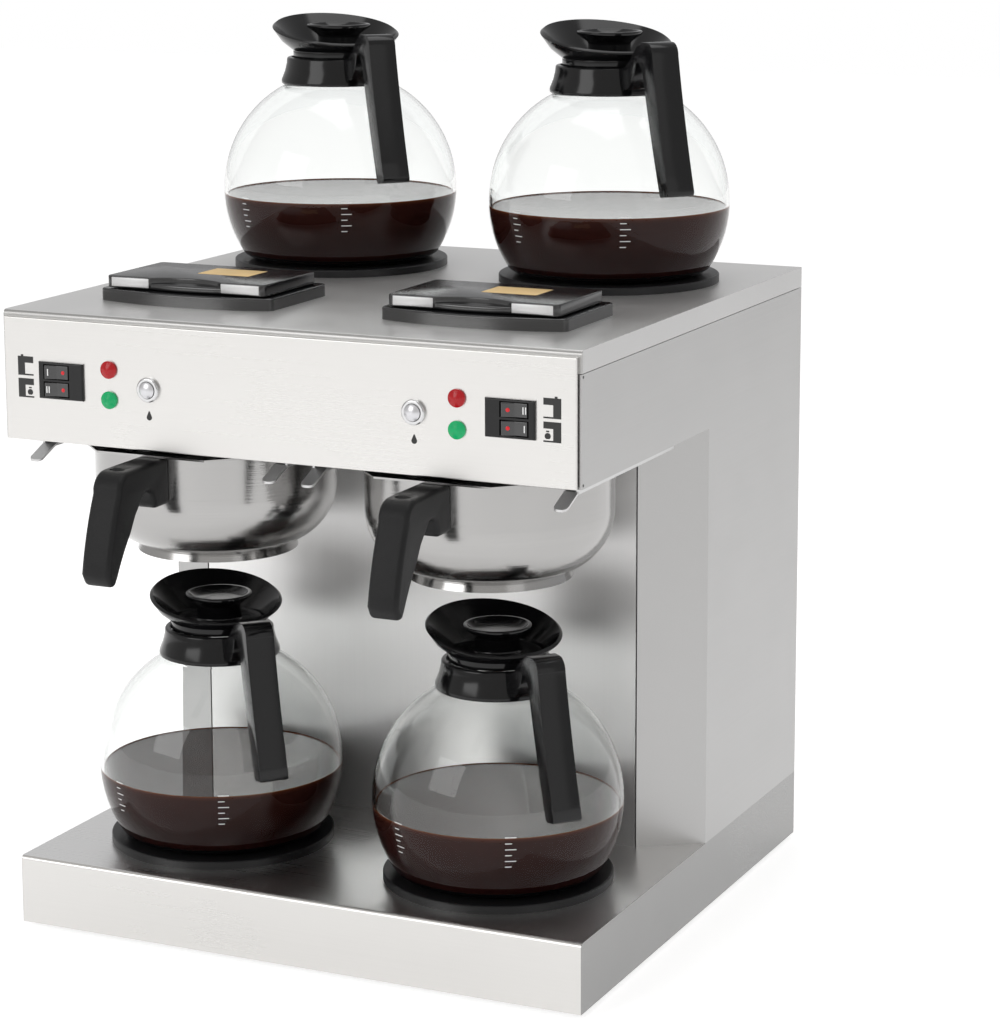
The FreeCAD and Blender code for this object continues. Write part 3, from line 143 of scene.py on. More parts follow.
# %% Room
room = bpy.data.worlds.new("studio_room")
bpy.context.scene.world = room
room.use_nodes = True
nodes, links = room.node_tree.nodes, room.node_tree.links
for node in list(nodes):
    nodes.remove(node)
way = nodes.new("ShaderNodeTexCoord")
split = nodes.new("ShaderNodeSeparateXYZ")
front = nodes.new("ShaderNodeValToRGB")
wall = nodes.new("ShaderNodeMapRange")
shown = nodes.new("ShaderNodeBackground")
lit = nodes.new("ShaderNodeBackground")
pick = nodes.new("ShaderNodeMixShader")
ray = nodes.new("ShaderNodeLightPath")
seen = nodes.new("ShaderNodeMath")
seen.operation = "MAXIMUM"
out = nodes.new("ShaderNodeOutputWorld")
links.new(way.outputs["Generated"], split.inputs["Vector"])
wall.inputs["From Min"].default_value = -1
wall.inputs["From Max"].default_value = 1
links.new(split.outputs["Y"], wall.inputs["Value"])
links.new(wall.outputs["Result"], front.inputs["Fac"])
front.color_ramp.elements[0].color = (0.64, 0.63, 0.615, 1)
front.color_ramp.elements[1].color = (0.52, 0.52, 0.525, 1)
front.color_ramp.elements[0].position = 0.15
front.color_ramp.elements[1].position = 0.85
links.new(front.outputs["Color"], lit.inputs["Color"])
lit.inputs["Strength"].default_value = 1.0
shown.inputs["Color"].default_value = (1, 1, 1, 1)
links.new(ray.outputs["Is Camera Ray"], seen.inputs[0])
links.new(ray.outputs["Is Transmission Ray"], seen.inputs[1])
links.new(seen.outputs["Value"], pick.inputs["Fac"])
links.new(lit.outputs["Background"], pick.inputs[1])
links.new(shown.outputs["Background"], pick.inputs[2])
links.new(pick.outputs["Shader"], out.inputs["Surface"])
print("room painted")

# %% [markdown]
# ## Ways of making a shape
#
# Three ways cover nearly every piece of this brewer. A turned piece, such as a decanter, starts
# as one vertex that is drawn out along half of its outline and then spun. A cut piece, such as a
# handle, starts as one vertex drawn round its side view, which is filled and then extruded to
# its width. A pressed piece starts as a plain box and gets its shape from bevels. Edges are
# broken with a Bevel modifier, because no real edge is sharp and a broken edge catches light.

# %% Edit mode helpers
def start_edit(piece):
    only(piece)
    bpy.ops.object.mode_set(mode="EDIT")
    bpy.ops.mesh.select_all(action="DESELECT")


def end_edit():
    bpy.ops.object.mode_set(mode="OBJECT")


def choose(kind, wanted):
    """In edit mode, select only the "verts", "edges" or "faces" that the test wants."""
    kinds = ("verts", "edges", "faces")
    bpy.context.tool_settings.mesh_select_mode = tuple(kind == each for each in kinds)
    bpy.ops.mesh.select_all(action="DESELECT")
    mesh = bmesh.from_edit_mesh(bpy.context.object.data)
    for part in getattr(mesh, kind):
        part.select_set(wanted(part))
    mesh.select_flush_mode()
    bmesh.update_edit_mesh(bpy.context.object.data)


def face_outwards(piece):
    """Merge doubled vertices, then point every face outwards."""
    start_edit(piece)
    bpy.ops.mesh.select_all(action="SELECT")
    bpy.ops.mesh.remove_doubles(threshold=1e-6)
    bpy.ops.mesh.normals_make_consistent(inside=False)
    end_edit()
    return piece


def one_vertex(name, at):
    """A plane collapsed to the single vertex that an outline is drawn from, left in edit mode."""
    nothing_selected()
    bpy.ops.mesh.primitive_plane_add(size=MM, location=at)
    piece = bpy.context.object
    piece.name = name
    bpy.ops.object.transform_apply(location=True, rotation=True, scale=True)
    bpy.context.tool_settings.mesh_select_mode = (True, False, False)
    bpy.ops.object.mode_set(mode="EDIT")
    bpy.ops.mesh.select_all(action="SELECT")
    bpy.ops.mesh.merge(type="CENTER")
    return piece


def draw_on(points):
    """In edit mode, extrude the selected vertex from point to point."""
    for here, there in zip(points, points[1:]):
        step = Vector(there) - Vector(here)
        bpy.ops.mesh.extrude_region_move(TRANSFORM_OT_translate={"value": step})


def settle(piece, *modifiers):
    """Add modifiers, given as (kind, settings), and apply each in turn."""
    only(piece)
    for kind, settings in modifiers:
        modifier = piece.modifiers.new(kind.lower(), kind)
        for word, amount in settings.items():
            setattr(modifier, word, amount)
        bpy.ops.object.modifier_apply(modifier=modifier.name)
    return piece


def broken(width, rounds=3, angle=30):
    """The Bevel modifier's settings for a broken edge of this width."""
    return "BEVEL", {"width": width, "segments": rounds, "limit_method": "ANGLE",
                     "angle_limit": math.radians(angle)}


def smooth(piece, angle=35):
    only(piece)
    bpy.ops.object.shade_smooth_by_angle(angle=math.radians(angle))
    return piece


def finished(piece, material, body, slot, *nodes):
    """Give a piece its material and its body, and hide the CAD nodes that it stands for.
    The slot is not used.
    """
    piece.data.materials.clear()
    piece.data.materials.append(material)
    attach(piece, body)
    if nodes:
        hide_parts(*nodes)
    return piece


def joined(name, pieces):
    """Join one or more meshes into one piece."""
    nothing_selected()
    for piece in pieces:
        piece.select_set(True)
    bpy.context.view_layer.objects.active = pieces[0]
    if len(pieces) > 1:
        bpy.ops.object.join()
    pieces[0].name = name
    return pieces[0]


def copied(piece, name, move):
    """A copy with its own mesh, moved there."""
    twin = piece.copy()
    twin.data = piece.data.copy()
    twin.name = name
    bpy.context.scene.collection.objects.link(twin)
    twin.data.transform(Matrix.Translation(Vector(move)))
    return twin


print("helpers ready")

# %% Turned pieces and arcs
def arc(centre, radius, first, last, count=10):
    """Points on an arc in an outline, from one angle in degrees to another."""
    angles = [math.radians(first + (last - first) * step / count) for step in range(count + 1)]
    return [(centre[0] + radius * math.cos(a), centre[1] + radius * math.sin(a)) for a in angles]


def turned(name, outline, at, forward=False, steps=96):
    """Spin an outline of (radius, height) in millimetres about an axis through a point.
    The axis stands upright, or points out of the front panel."""
    axis = Vector((0, -1, 0)) if forward else Vector((0, 0, 1))
    at = Vector(at)
    points = [at + (Vector((1, 0, 0)) * radius + axis * height) * MM for radius, height in outline]
    piece = one_vertex(name, points[0])
    draw_on(points)
    bpy.ops.mesh.select_all(action="SELECT")
    bpy.ops.mesh.spin(steps=steps, angle=2 * math.pi, center=at, axis=axis)
    end_edit()
    return face_outwards(piece)


def cut_out(name, outline, width):
    """A slab whose side view is the outline of (across, height) in millimetres, drawn in the XZ
    plane and extruded to its width, centred on that plane."""
    points = [Vector((across, -width / 2, height)) * MM for across, height in outline]
    piece = one_vertex(name, points[0])
    draw_on(points)
    bpy.ops.mesh.select_all(action="SELECT")
    bpy.ops.mesh.edge_face_add()
    bpy.ops.mesh.extrude_region_move(TRANSFORM_OT_translate={"value": (0, width * MM, 0)})
    end_edit()
    return face_outwards(piece)


def boxed(name, low, high):
    """A box between two corners, in metres, as a start for a pressed piece."""
    low, high = Vector(low), Vector(high)
    nothing_selected()
    bpy.ops.mesh.primitive_cube_add(size=1, location=(low + high) / 2, scale=high - low)
    piece = bpy.context.object
    piece.name = name
    bpy.ops.object.transform_apply(location=True, rotation=True, scale=True)
    return piece


def turn_and_place(piece, degrees, at):
    """Turn a mesh about the upright axis and move it to its place."""
    turn = Matrix.Rotation(math.radians(degrees), 4, "Z")
    piece.data.transform(Matrix.Translation(Vector(at)) @ turn)
    return piece


print("turning, cutting and boxing ready")

# %% [markdown]
# ## Finishes
#
# Every finish is built from nodes on Object coordinates, so a grain keeps its true size on every
# piece and nothing slides when a piece moves. A finish has three layers: a colour that drifts a
# little, a roughness that drifts with it, and a fine relief. The noise is stretched through a
# Mapping node where the real surface has a direction, as brushed steel has.

# %% Finish helper
def finish(name, colour, rough, metal, grain, relief, drift, uneven, specular=0.5):
    """A finish with drifting colour, uneven gloss and a fine grain. Grain is in waves a metre."""
    material = bpy.data.materials.new(name)
    material.use_nodes = True
    tree = material.node_tree
    shader = tree.nodes["Principled BSDF"]
    shader.inputs["Metallic"].default_value = metal
    shader.inputs["Specular IOR Level"].default_value = specular
    place = tree.nodes.new("ShaderNodeTexCoord")
    stretch = tree.nodes.new("ShaderNodeMapping")
    stretch.inputs["Scale"].default_value = grain
    tree.links.new(place.outputs["Object"], stretch.inputs["Vector"])
    fine = tree.nodes.new("ShaderNodeTexNoise")
    fine.inputs["Scale"].default_value = 1
    fine.inputs["Detail"].default_value = 3
    tree.links.new(stretch.outputs["Vector"], fine.inputs["Vector"])
    cloud = tree.nodes.new("ShaderNodeTexNoise")
    cloud.inputs["Scale"].default_value = 14
    cloud.inputs["Detail"].default_value = 2
    tree.links.new(place.outputs["Object"], cloud.inputs["Vector"])
    tone = tree.nodes.new("ShaderNodeMix")
    tone.data_type = "RGBA"
    tone.inputs["A"].default_value = (*[part * (1 - drift) for part in colour], 1)
    tone.inputs["B"].default_value = (*[min(1, part * (1 + drift)) for part in colour], 1)
    both = tree.nodes.new("ShaderNodeMath")
    both.operation = "MULTIPLY_ADD"
    both.inputs[1].default_value = 0.5
    half = tree.nodes.new("ShaderNodeMath")
    half.operation = "MULTIPLY"
    half.inputs[1].default_value = 0.5
    tree.links.new(cloud.outputs["Fac"], half.inputs[0])
    tree.links.new(fine.outputs["Fac"], both.inputs[0])
    tree.links.new(half.outputs["Value"], both.inputs[2])
    tree.links.new(both.outputs["Value"], tone.inputs["Factor"])
    tree.links.new(tone.outputs["Result"], shader.inputs["Base Color"])
    gloss = tree.nodes.new("ShaderNodeMapRange")
    gloss.inputs["From Min"].default_value = 0.3
    gloss.inputs["From Max"].default_value = 0.7
    gloss.inputs["To Min"].default_value = max(0.0, rough - uneven)
    gloss.inputs["To Max"].default_value = rough + uneven
    tree.links.new(both.outputs["Value"], gloss.inputs["Value"])
    tree.links.new(gloss.outputs["Result"], shader.inputs["Roughness"])
    bump = tree.nodes.new("ShaderNodeBump")
    bump.inputs["Strength"].default_value = relief
    bump.inputs["Distance"].default_value = 0.0005
    tree.links.new(fine.outputs["Fac"], bump.inputs["Height"])
    tree.links.new(bump.outputs["Normal"], shader.inputs["Normal"])
    return material


def dress(material, *nodes):
    """Give CAD nodes a finish in place of the plain one that they came with."""
    for node in nodes:
        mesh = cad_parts[node].data
        mesh.materials.clear()
        mesh.materials.append(material)


print("finish helper ready")

# %% [markdown]
# ### Steel
#
# The casing is brushed stainless steel: the abrasive belt leaves long fine scratches in one
# direction, so reflections smear across the scratches and stay sharper along them. On the front
# and the deck the scratches run from side to side, on the side covers from front to back, and on
# the backsplash up and down.
# The bowls were spun on a lathe instead, so their scratches are rings. One helper makes all of
# them. Besides the stretch of the noise, their colours differ: the side covers are painted darker,
# as painted shade, and the backsplash and the deck lighter, as painted reflection.

# %% Steel finishes
ALONG, ACROSS = 5, 900
SIDEWAYS = (ALONG, ACROSS, ACROSS)
BACKWARDS = (ACROSS, ALONG, ACROSS)
UPWARDS = (ACROSS, ACROSS, ALONG)
SHEET = (0.66, 0.65, 0.635)

steel_front = finish("brushed_steel_front", SHEET, 0.30, 1.0, SIDEWAYS, 0.04, 0.05, 0.05)
# Painted shade: the side covers get a darker copy of the sheet colour.
steel_side = finish("brushed_steel_side", (0.42, 0.417, 0.415), 0.34, 1.0, BACKWARDS,
                    0.10, 0.06, 0.05)
# Painted reflection: the backsplash gets a lighter copy of the sheet colour.
steel_upright = finish("brushed_steel_upright", (0.84, 0.835, 0.83), 0.40, 0.8, UPWARDS,
                       0.012, 0.04, 0.03)
# Painted reflection: the deck gets a lighter copy of the sheet colour; its side and front faces are
# painted darker below.
steel_deck = finish("brushed_steel_deck", (0.84, 0.835, 0.825), 0.34, 0.85, SIDEWAYS,
                    0.12, 0.08, 0.05)
steel_spun = finish("spun_steel", (0.40, 0.395, 0.39), 0.17, 1.0, (6, 6, 1100), 0.10, 0.10, 0.06)
steel_plain = finish("rolled_steel", (0.60, 0.60, 0.60), 0.38, 1.0, (240, 240, 240),
                     0.06, 0.08, 0.06)
steel_wire = finish("wire_steel", (0.70, 0.69, 0.68), 0.20, 1.0, (900, 900, 900),
                    0.06, 0.08, 0.05)
chrome = finish("chrome_ring", (0.56, 0.56, 0.565), 0.12, 1.0, (400, 400, 400),
                0.02, 0.04, 0.03)
aluminium = finish("cast_aluminium", (0.62, 0.62, 0.63), 0.48, 1.0, (900, 900, 900),
                   0.35, 0.08, 0.08)
brass = finish("valve_brass", (0.66, 0.47, 0.20), 0.28, 1.0, (500, 500, 500), 0.08, 0.12, 0.08)
print("steel, chrome, aluminium and brass mixed")

# %% [markdown]
# ### Faces with painted light and shade
#
# The base and the deck are each one folded sheet, and their faces meet very different parts of a
# room. The engineering mesh stays untouched, so a face can't be given a material of its own.
# Its tone changes by position instead: everything beyond an edge of the sheet, less a hair, gets
# another colour. That colour is painted light: the top of the base is painted near white, as a
# painted reflection, and the sides, front and back of the base and of the deck are painted
# darker, as painted shade.

# %% Faces with painted light and shade
def painted_light_on_faces(material, axis, edge, colour, way=0):
    """Paint light and shade on the faces beyond an edge, as a tone of their own: both ways along
    the axis, or one way only for 1 or -1."""
    tree = material.node_tree
    shader = tree.nodes["Principled BSDF"]
    before = shader.inputs["Base Color"].links[0].from_socket
    place = tree.nodes.new("ShaderNodeTexCoord")
    split = tree.nodes.new("ShaderNodeSeparateXYZ")
    reach = tree.nodes.new("ShaderNodeMath")
    reach.operation = "MULTIPLY" if way else "ABSOLUTE"
    reach.inputs[1].default_value = way
    beyond = tree.nodes.new("ShaderNodeMath")
    beyond.operation = "GREATER_THAN"
    beyond.inputs[1].default_value = edge
    mix = tree.nodes.new("ShaderNodeMix")
    mix.data_type = "RGBA"
    mix.inputs["B"].default_value = (*colour, 1)
    tree.links.new(place.outputs["Object"], split.inputs["Vector"])
    tree.links.new(split.outputs[axis], reach.inputs[0])
    tree.links.new(reach.outputs["Value"], beyond.inputs[0])
    tree.links.new(beyond.outputs["Value"], mix.inputs["Factor"])
    tree.links.new(before, mix.inputs["A"])
    tree.links.new(mix.outputs["Result"], shader.inputs["Base Color"])


HAIR = 0.0002
FOLD = 0.0016
base_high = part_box("base_shell")[1]
steel_base = finish("brushed_steel_base", SHEET, 0.30, 1.0, SIDEWAYS, 0.04, 0.05, 0.05)
# Painted reflection: the top face of the base is painted near white.
painted_light_on_faces(steel_base, "Z", base_high.z - HAIR, (1.0, 0.995, 0.985))
# Painted shade: the sides, front and back of the base and of the deck are painted darker.
for axis, edge in (("X", base_high.x - HAIR), ("Y", base_high.y - HAIR)):
    painted_light_on_faces(steel_base, axis, edge, (0.30, 0.298, 0.296))
    painted_light_on_faces(steel_deck, axis, edge, (0.50, 0.497, 0.495))
# Painted shade: the front face of the deck is painted darker still.
painted_light_on_faces(steel_deck, "Y", -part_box("top_cover")[0].y - FOLD, (0.40, 0.397, 0.39), -1)
print("base and deck toned face by face")

# %% Steel on its pieces
dress(steel_base, "base_shell")
dress(steel_front, "hood_front_panel")
dress(steel_deck, "top_cover")
dress(steel_side, "hood_side_left", "hood_side_right", "column_cover_left", "column_cover_right")
dress(steel_upright, "backsplash_panel")
dress(steel_plain, "base_bottom_plate", "hood_underside", "rear_cover", "water_tanks",
      "rear_cover_screws", "guide_rails_left", "guide_rails_right", "fill_hinge_pins",
      "spray_heads")
dress(steel_wire, "basket_rack_left", "basket_rack_right")
dress(steel_spun, "basket_bowl_left", "basket_bowl_right")
dress(brass, "inlet_valve")
dress(aluminium, "warmer_elements")
dress(steel_wire, "water_tubes", "tank_heaters")
dressed = [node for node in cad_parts.values() if len(node.data.materials) > 0]
print("materials on", len(dressed), "nodes")

# %% [markdown]
# ### Plastics, rubber and coating
#
# The black pieces are not one black. The warming plates have a satin baked coating, the
# decanter's collar, grip and lid are glossy moulded plastic, the basket handles have a fine
# sparked grain that hides fingerprints, and the fill lids are smooth with a pale inset. Their
# blacks are kept a little above zero, since a true zero shows no form at all.

# %% Black finishes and colours
coating = finish("satin_coating", (0.010, 0.010, 0.011), 0.36, 0.0, (900, 900, 900),
                 0.10, 0.2, 0.06, specular=0.3)
gloss_black = finish("gloss_black", (0.004, 0.004, 0.0045), 0.15, 0.0, (120, 120, 120),
                     0.02, 0.2, 0.04, specular=0.34)
grained_black = finish("grained_black", (0.011, 0.011, 0.0115), 0.38, 0.0, (1500, 1500, 1500),
                       0.55, 0.2, 0.05, specular=0.18)
smooth_black = finish("smooth_black", (0.008, 0.008, 0.009), 0.18, 0.0, (200, 200, 200),
                      0.03, 0.2, 0.05, specular=0.9)
pale_satin = finish("pale_satin", (0.66, 0.66, 0.665), 0.34, 0.3, (500, 500, 500),
                    0.06, 0.1, 0.05)
rubber = finish("foot_rubber", (0.02, 0.02, 0.02), 0.75, 0.0, (700, 700, 700), 0.35, 0.2, 0.08)
board_green = finish("board_green", (0.02, 0.12, 0.05), 0.45, 0.0, (300, 300, 300),
                     0.08, 0.25, 0.08)
white_mark = finish("white_mark", (0.80, 0.80, 0.80), 0.5, 0.0, (900, 900, 900),
                    0.04, 0.05, 0.05)
# Black for the printed signs, and as painted shade in the relief holes.
black_print_and_hole_shade = finish("black_print_and_hole_shade", (0.015, 0.015, 0.015), 0.5, 0.0, (900, 900, 900),
                    0.04, 0.1, 0.05)
amber_label = finish("amber_label", (0.72, 0.50, 0.22), 0.45, 0.0, (60, 60, 60),
                     0.05, 0.25, 0.06)
cap_silver = finish("cap_silver", (0.62, 0.62, 0.64), 0.30, 0.8, (500, 500, 500),
                    0.04, 0.05, 0.05)
dress(coating, *[f"warmer_plate_{level}_{side}" for level in LEVELS for side in SIDES])
dress(gloss_black, "switch_housings")
dress(smooth_black, "cable_gland")
dress(rubber, "rubber_feet")
dress(board_green, "control_board")
dress(chrome, "button_bezels")
print(len(bpy.data.materials), "materials so far")

# %% [markdown]
# ### Glass, lenses and coffee
#
# The decanters are thin clear glass. What makes it look like glass is a wall with an inside and
# an outside. Its refraction is set lower than that of real glass, because the full figure lays
# a grey veil over the coffee behind it. The lamp lenses are clear coloured plastic over a bright
# backing, so they are a saturated colour with a glossy skin. Coffee in a wide globe lets almost
# no light through, except where it is thin at its rim. Here that light is painted: the colour
# runs by height from a painted amber light at the surface to near black.

# %% Clear and coloured finishes
def clear(name, tint, ior):
    material = finish(name, tint, 0.0, 0.0, (30, 30, 30), 0.0, 0.01, 0.0)
    shader = material.node_tree.nodes["Principled BSDF"]
    shader.inputs["Transmission Weight"].default_value = 1
    shader.inputs["IOR"].default_value = ior
    return material


def lens_colour(name, colour, glow):
    material = finish(name, colour, 0.16, 0.0, (500, 500, 500), 0.03, 0.3, 0.04, specular=0.35)
    shader = material.node_tree.nodes["Principled BSDF"]
    shader.inputs["Emission Color"].default_value = (*colour, 1)
    shader.inputs["Emission Strength"].default_value = glow
    return material


glass_clear = clear("decanter_glass", (0.98, 0.99, 0.985), 1.28)
red_lens = lens_colour("red_lens", (0.34, 0.004, 0.008), 0.10)
green_lens = lens_colour("green_lens", (0.001, 0.30, 0.10), 0.22)
dress(glass_clear, *[f"decanter_glass_{level}_{side}" for level in LEVELS for side in SIDES])


FADE = 0.030


def coffee_finish(level, surface):
    """Coffee whose colour runs by height, from its flat surface down, with painted light in amber
    just under the surface.
    """
    material = finish(f"coffee_{level}", (0.02, 0.006, 0.003), 0.2, 0.0, (20, 20, 20),
                      0.0, 0.1, 0.01, specular=0.0)
    tree = material.node_tree
    shader = tree.nodes["Principled BSDF"]
    place = tree.nodes.new("ShaderNodeTexCoord")
    split = tree.nodes.new("ShaderNodeSeparateXYZ")
    height = tree.nodes.new("ShaderNodeMapRange")
    height.inputs["From Min"].default_value = surface - FADE
    height.inputs["From Max"].default_value = surface
    ramp = tree.nodes.new("ShaderNodeValToRGB")
    # Painted light: the ramp is lighter amber at the top, for light through the thin rim.
    ramp.color_ramp.elements[0].color = (0.016, 0.004, 0.0035, 1)
    ramp.color_ramp.elements[1].color = (0.17, 0.055, 0.02, 1)
    ramp.color_ramp.elements[1].position = 1.0
    body = ramp.color_ramp.elements.new(0.90)
    body.color = (0.030, 0.009, 0.007, 1)
    painted_rim_light = ramp.color_ramp.elements.new(0.965)
    painted_rim_light.color = (0.06, 0.018, 0.010, 1)
    tree.links.new(place.outputs["Object"], split.inputs["Vector"])
    tree.links.new(split.outputs["Z"], height.inputs["Value"])
    tree.links.new(height.outputs["Result"], ramp.inputs["Fac"])
    tree.links.new(ramp.outputs["Color"], shader.inputs["Base Color"])
    return material


coffee_top = finish("coffee_surface", (0.022, 0.007, 0.005), 0.01, 0.0, (20, 20, 20),
                    0.004, 0.1, 0.01)
coffee_top.node_tree.nodes["Principled BSDF"].inputs["IOR"].default_value = 1.34
print("glass, lenses and coffee ready")

# %% [markdown]
# ## Decanters
#
# A decanter is a blown glass globe with a flat foot, a moulded collar clamped round its neck,
# and a grip that leaves the collar, turns down and ends free. The glass itself keeps its CAD
# mesh, which is smooth enough to refract well. The moulded pieces are remade here, because
# moulded plastic has soft changes of direction that the engineering model leaves out. All four
# decanters are alike, so each piece is modelled once about the upright axis and then copied.

# %% Sizes of a decanter
GRIP_WAY = -42
STAND = {}
for level in LEVELS:
    for side in SIDES:
        low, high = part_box(f"warmer_plate_{level}_{side}")
        STAND[level, side] = Vector(((low.x + high.x) / 2, (low.y + high.y) / 2, high.z))
GRIP_WIDTH = 19
GLOBE, CENTRE, WALL = 82.0, 49.0, 2.2
COFFEE, CLIMB = 45.5, 0.8
COLLAR_LOW, COLLAR_HIGH = 122.5, 141.0
RIM, RIM_FALL = 159.1, 0.198
for key, at in STAND.items():
    print("stand", *key, [round(part, 3) for part in at])

# %% Collar
collar_outline = [(33.2, 128.5), (38.6, COLLAR_LOW), *arc((39.4, COLLAR_LOW + 1.1), 1.1, -90, 0, 4),
                  (40.3, 125.5), (37.9, 131.5), (36.6, 137.0),
                  *arc((34.9, COLLAR_HIGH - 1.5), 1.5, 10, 90, 4), (33.2, COLLAR_HIGH),
                  (33.2, 128.5)]
collar = turned("collar", collar_outline, (0, 0, 0))
smooth(collar, 40)
print("collar", len(collar.data.polygons), "faces")

# %% [markdown]
# ### The grip
#
# The grip is one bar that bends. It could be a curve with a bevel, but its section is a flat
# rectangle with small rounded edges, and its root is deeper than its end, so it is cut out as a
# side view and extruded to its width. The outer line bows a little between the bend and the end.

# %% Grip
def bow(first, last, sag, count=8):
    """Points from first to last on a line that bows by a sag, to the left of its direction."""
    first, last = Vector(first), Vector(last)
    side = Vector((-(last - first).y, (last - first).x)).normalized()
    steps = [step / count for step in range(count + 1)]
    return [tuple(first.lerp(last, t) + side * sag * 4 * t * (1 - t)) for t in steps]


grip_outline = [(35.0, 125.6), *bow((49.5, 128.5), (60.5, 146.0), -2.2, 5), (64.5, 147.2),
                *bow((70.5, 141.0), (97.4, 62.6), -1.0), (99.0, 61.6),
                *arc((107.3, 65.4), 2.7, -70, 10, 4), *bow((110.0, 66.0), (85.6, 152.0), 1.2),
                *arc((77.0, 152.0), 8.6, 5, 88, 8), (70.0, 160.4), (62.0, 157.0), (52.0, 148.2),
                (44.0, 142.4), (35.0, 140.6)]
grip = cut_out("grip", grip_outline, GRIP_WIDTH)
settle(grip, broken(0.0022, 4, 40))
smooth(grip, 40)
handle = joined("decanter_handle", [collar, grip])
print("grip reaches", round(max(v.co.x for v in handle.data.vertices) * 1000, 1), "mm")

# %% [markdown]
# ### The lid
#
# The lid is a funnel whose rim is cut on a slant, so that coffee from the basket above lands in
# it wherever the decanter stands. The cone is spun as a thin sheet, cut with a bisecting plane,
# and only then given a wall, which closes the slanted rim by itself. The knob stands in the
# middle of the funnel as a shallow cup on a stem.

# %% Funnel and knob
funnel = turned("funnel", [(29.5, 140.8), (29.5, 145.6), *arc((32.4, 145.4), 2.9, 175, 130, 4),
                           (38.0, 153.6), (50.5, 171.2)], (0, 0, 0))
start_edit(funnel)
bpy.ops.mesh.select_all(action="SELECT")
bpy.ops.mesh.bisect(plane_co=(0, 0, RIM * MM), plane_no=(RIM_FALL, 0, 1), clear_outer=True)
end_edit()
settle(funnel, ("SOLIDIFY", {"thickness": 0.0024, "offset": -1, "use_even_offset": True}),
       broken(0.0006, 2, 50))
smooth(funnel, 40)

core_outline = [(0, 143.5), (28.0, 143.5), (28.6, 146.5), (16.5, 146.6),
                *arc((16.3, 148.4), 1.8, -90, -180, 4), (14.4, 154.6),
                *arc((17.4, 154.6), 3.0, 180, 130, 4), (22.0, 161.6),
                *arc((21.3, 162.8), 1.0, 0, 90, 4), (20.4, 163.8),
                *arc((20.2, 163.0), 0.8, 90, 150, 3), (15.4, 160.2), (9.0, 159.5), (0, 159.4)]
core = turned("knob", core_outline, (0, 0, 0))
smooth(core, 40)
lid = joined("decanter_lid", [funnel, core])
tops = [v.co.z for v in lid.data.vertices]
print("lid from", round(min(tops) * 1000, 1), "to", round(max(tops) * 1000, 1), "mm")

# %% [markdown]
# ### Coffee and level lines
#
# The coffee is a turned solid that reaches a hair into the glass wall, so there is no film of
# air between them that would look like silver. Its edge climbs the glass a little, as a liquid's
# does. The level lines are short strips bent round the globe: each is an upright edge spun
# through a small angle, then given the thickness of a layer of enamel.

# %% Coffee
inner = GLOBE - WALL + 0.4
low_angle = math.degrees(math.asin((6.2 - CENTRE) / inner))
high_angle = math.degrees(math.asin((COFFEE + CLIMB - CENTRE) / inner))
coffee_outline = [(0, WALL - 0.3), (58.2, WALL - 0.3), (63.4, 3.4),
                  *arc((0, CENTRE), inner, low_angle, high_angle, 24),
                  (inner - 0.9, COFFEE + 0.1), (inner - 2.4, COFFEE), (0, COFFEE)]
coffee = turned("coffee", coffee_outline, (0, 0, 0), steps=128)
smooth(coffee, 50)
print("coffee stands", COFFEE, "mm above the warming plate")

# %% Level lines
SKIN = GLOBE + 0.05
ENAMEL, STROKE = 0.12, 0.5


def level_line(height, from_way, to_way):
    """A strip of enamel on the globe, between two directions in degrees."""
    first = math.degrees(math.asin((height - CENTRE) / SKIN))
    last = math.degrees(math.asin((height + STROKE - CENTRE) / SKIN))
    way = Vector((math.cos(math.radians(from_way)), math.sin(math.radians(from_way)), 0))
    edge = [(way * radius + Vector((0, 0, rise))) * MM
            for radius, rise in arc((0, CENTRE), SKIN, first, last, 1)]
    piece = one_vertex("line", edge[0])
    draw_on(edge)
    bpy.ops.mesh.select_all(action="SELECT")
    bpy.ops.mesh.spin(steps=6, angle=math.radians(from_way - to_way), center=(0, 0, 0),
                      axis=(0, 0, 1))
    end_edit()
    face_outwards(piece)
    return settle(piece, ("SOLIDIFY", {"thickness": ENAMEL * MM, "offset": 1}))


SCALE = [(27 + 4 * step, 5 if step % 2 else 3) for step in range(6)]
SCALES_START = (-118, -62)
lines = [level_line(height, start, start + reach)
         for start in SCALES_START for height, reach in SCALE]
level_lines = joined("level_lines", lines)
print(len(lines), "level lines")

# %% Set out the four decanters
def give_surface(piece, height):
    """Give the flat top of a piece of coffee the material of a liquid's surface."""
    piece.data.materials.append(coffee_top)
    start_edit(piece)
    choose("faces", lambda face: face.calc_center_median().z > height - 1e-5
           and face.normal.z > 0.8)
    piece.active_material_index = 1
    bpy.ops.object.material_slot_assign()
    end_edit()


for level in LEVELS:
    coffee_colour = coffee_finish(level, STAND[level, "left"].z + (COFFEE + CLIMB) * MM)
    for side in SIDES:
        at = STAND[level, side]
        body = f"decanter_{level}_{side}"
        handle_node = [f"decanter_handle_{level}_{side}"]
        for source, label, material, slot_name, stands_for in (
                (handle, "handle", gloss_black, "decanter_black", handle_node),
                (coffee, "coffee", coffee_colour, "decanter_glass", []),
                (level_lines, "level_lines", white_mark, "decanter_glass", [])):
            piece = copied(source, f"decanter_{label}_{level}_{side}.shown", (0, 0, 0))
            turn_and_place(piece, GRIP_WAY if label == "handle" else 0, at)
            finished(piece, material, body, slot_name, *stands_for)
            if label == "coffee":
                give_surface(piece, at.z + COFFEE * MM)
        name = f"decanter_lid_{level}_{side}"
        piece = copied(lid, f"{name}.shown", (0, 0, 0))
        turn_and_place(piece, GRIP_WAY, at)
        finished(piece, gloss_black, name, "decanter_black", name)
for pattern in (handle, coffee, level_lines, lid):
    bpy.data.objects.remove(pattern)
print("four decanters set out")

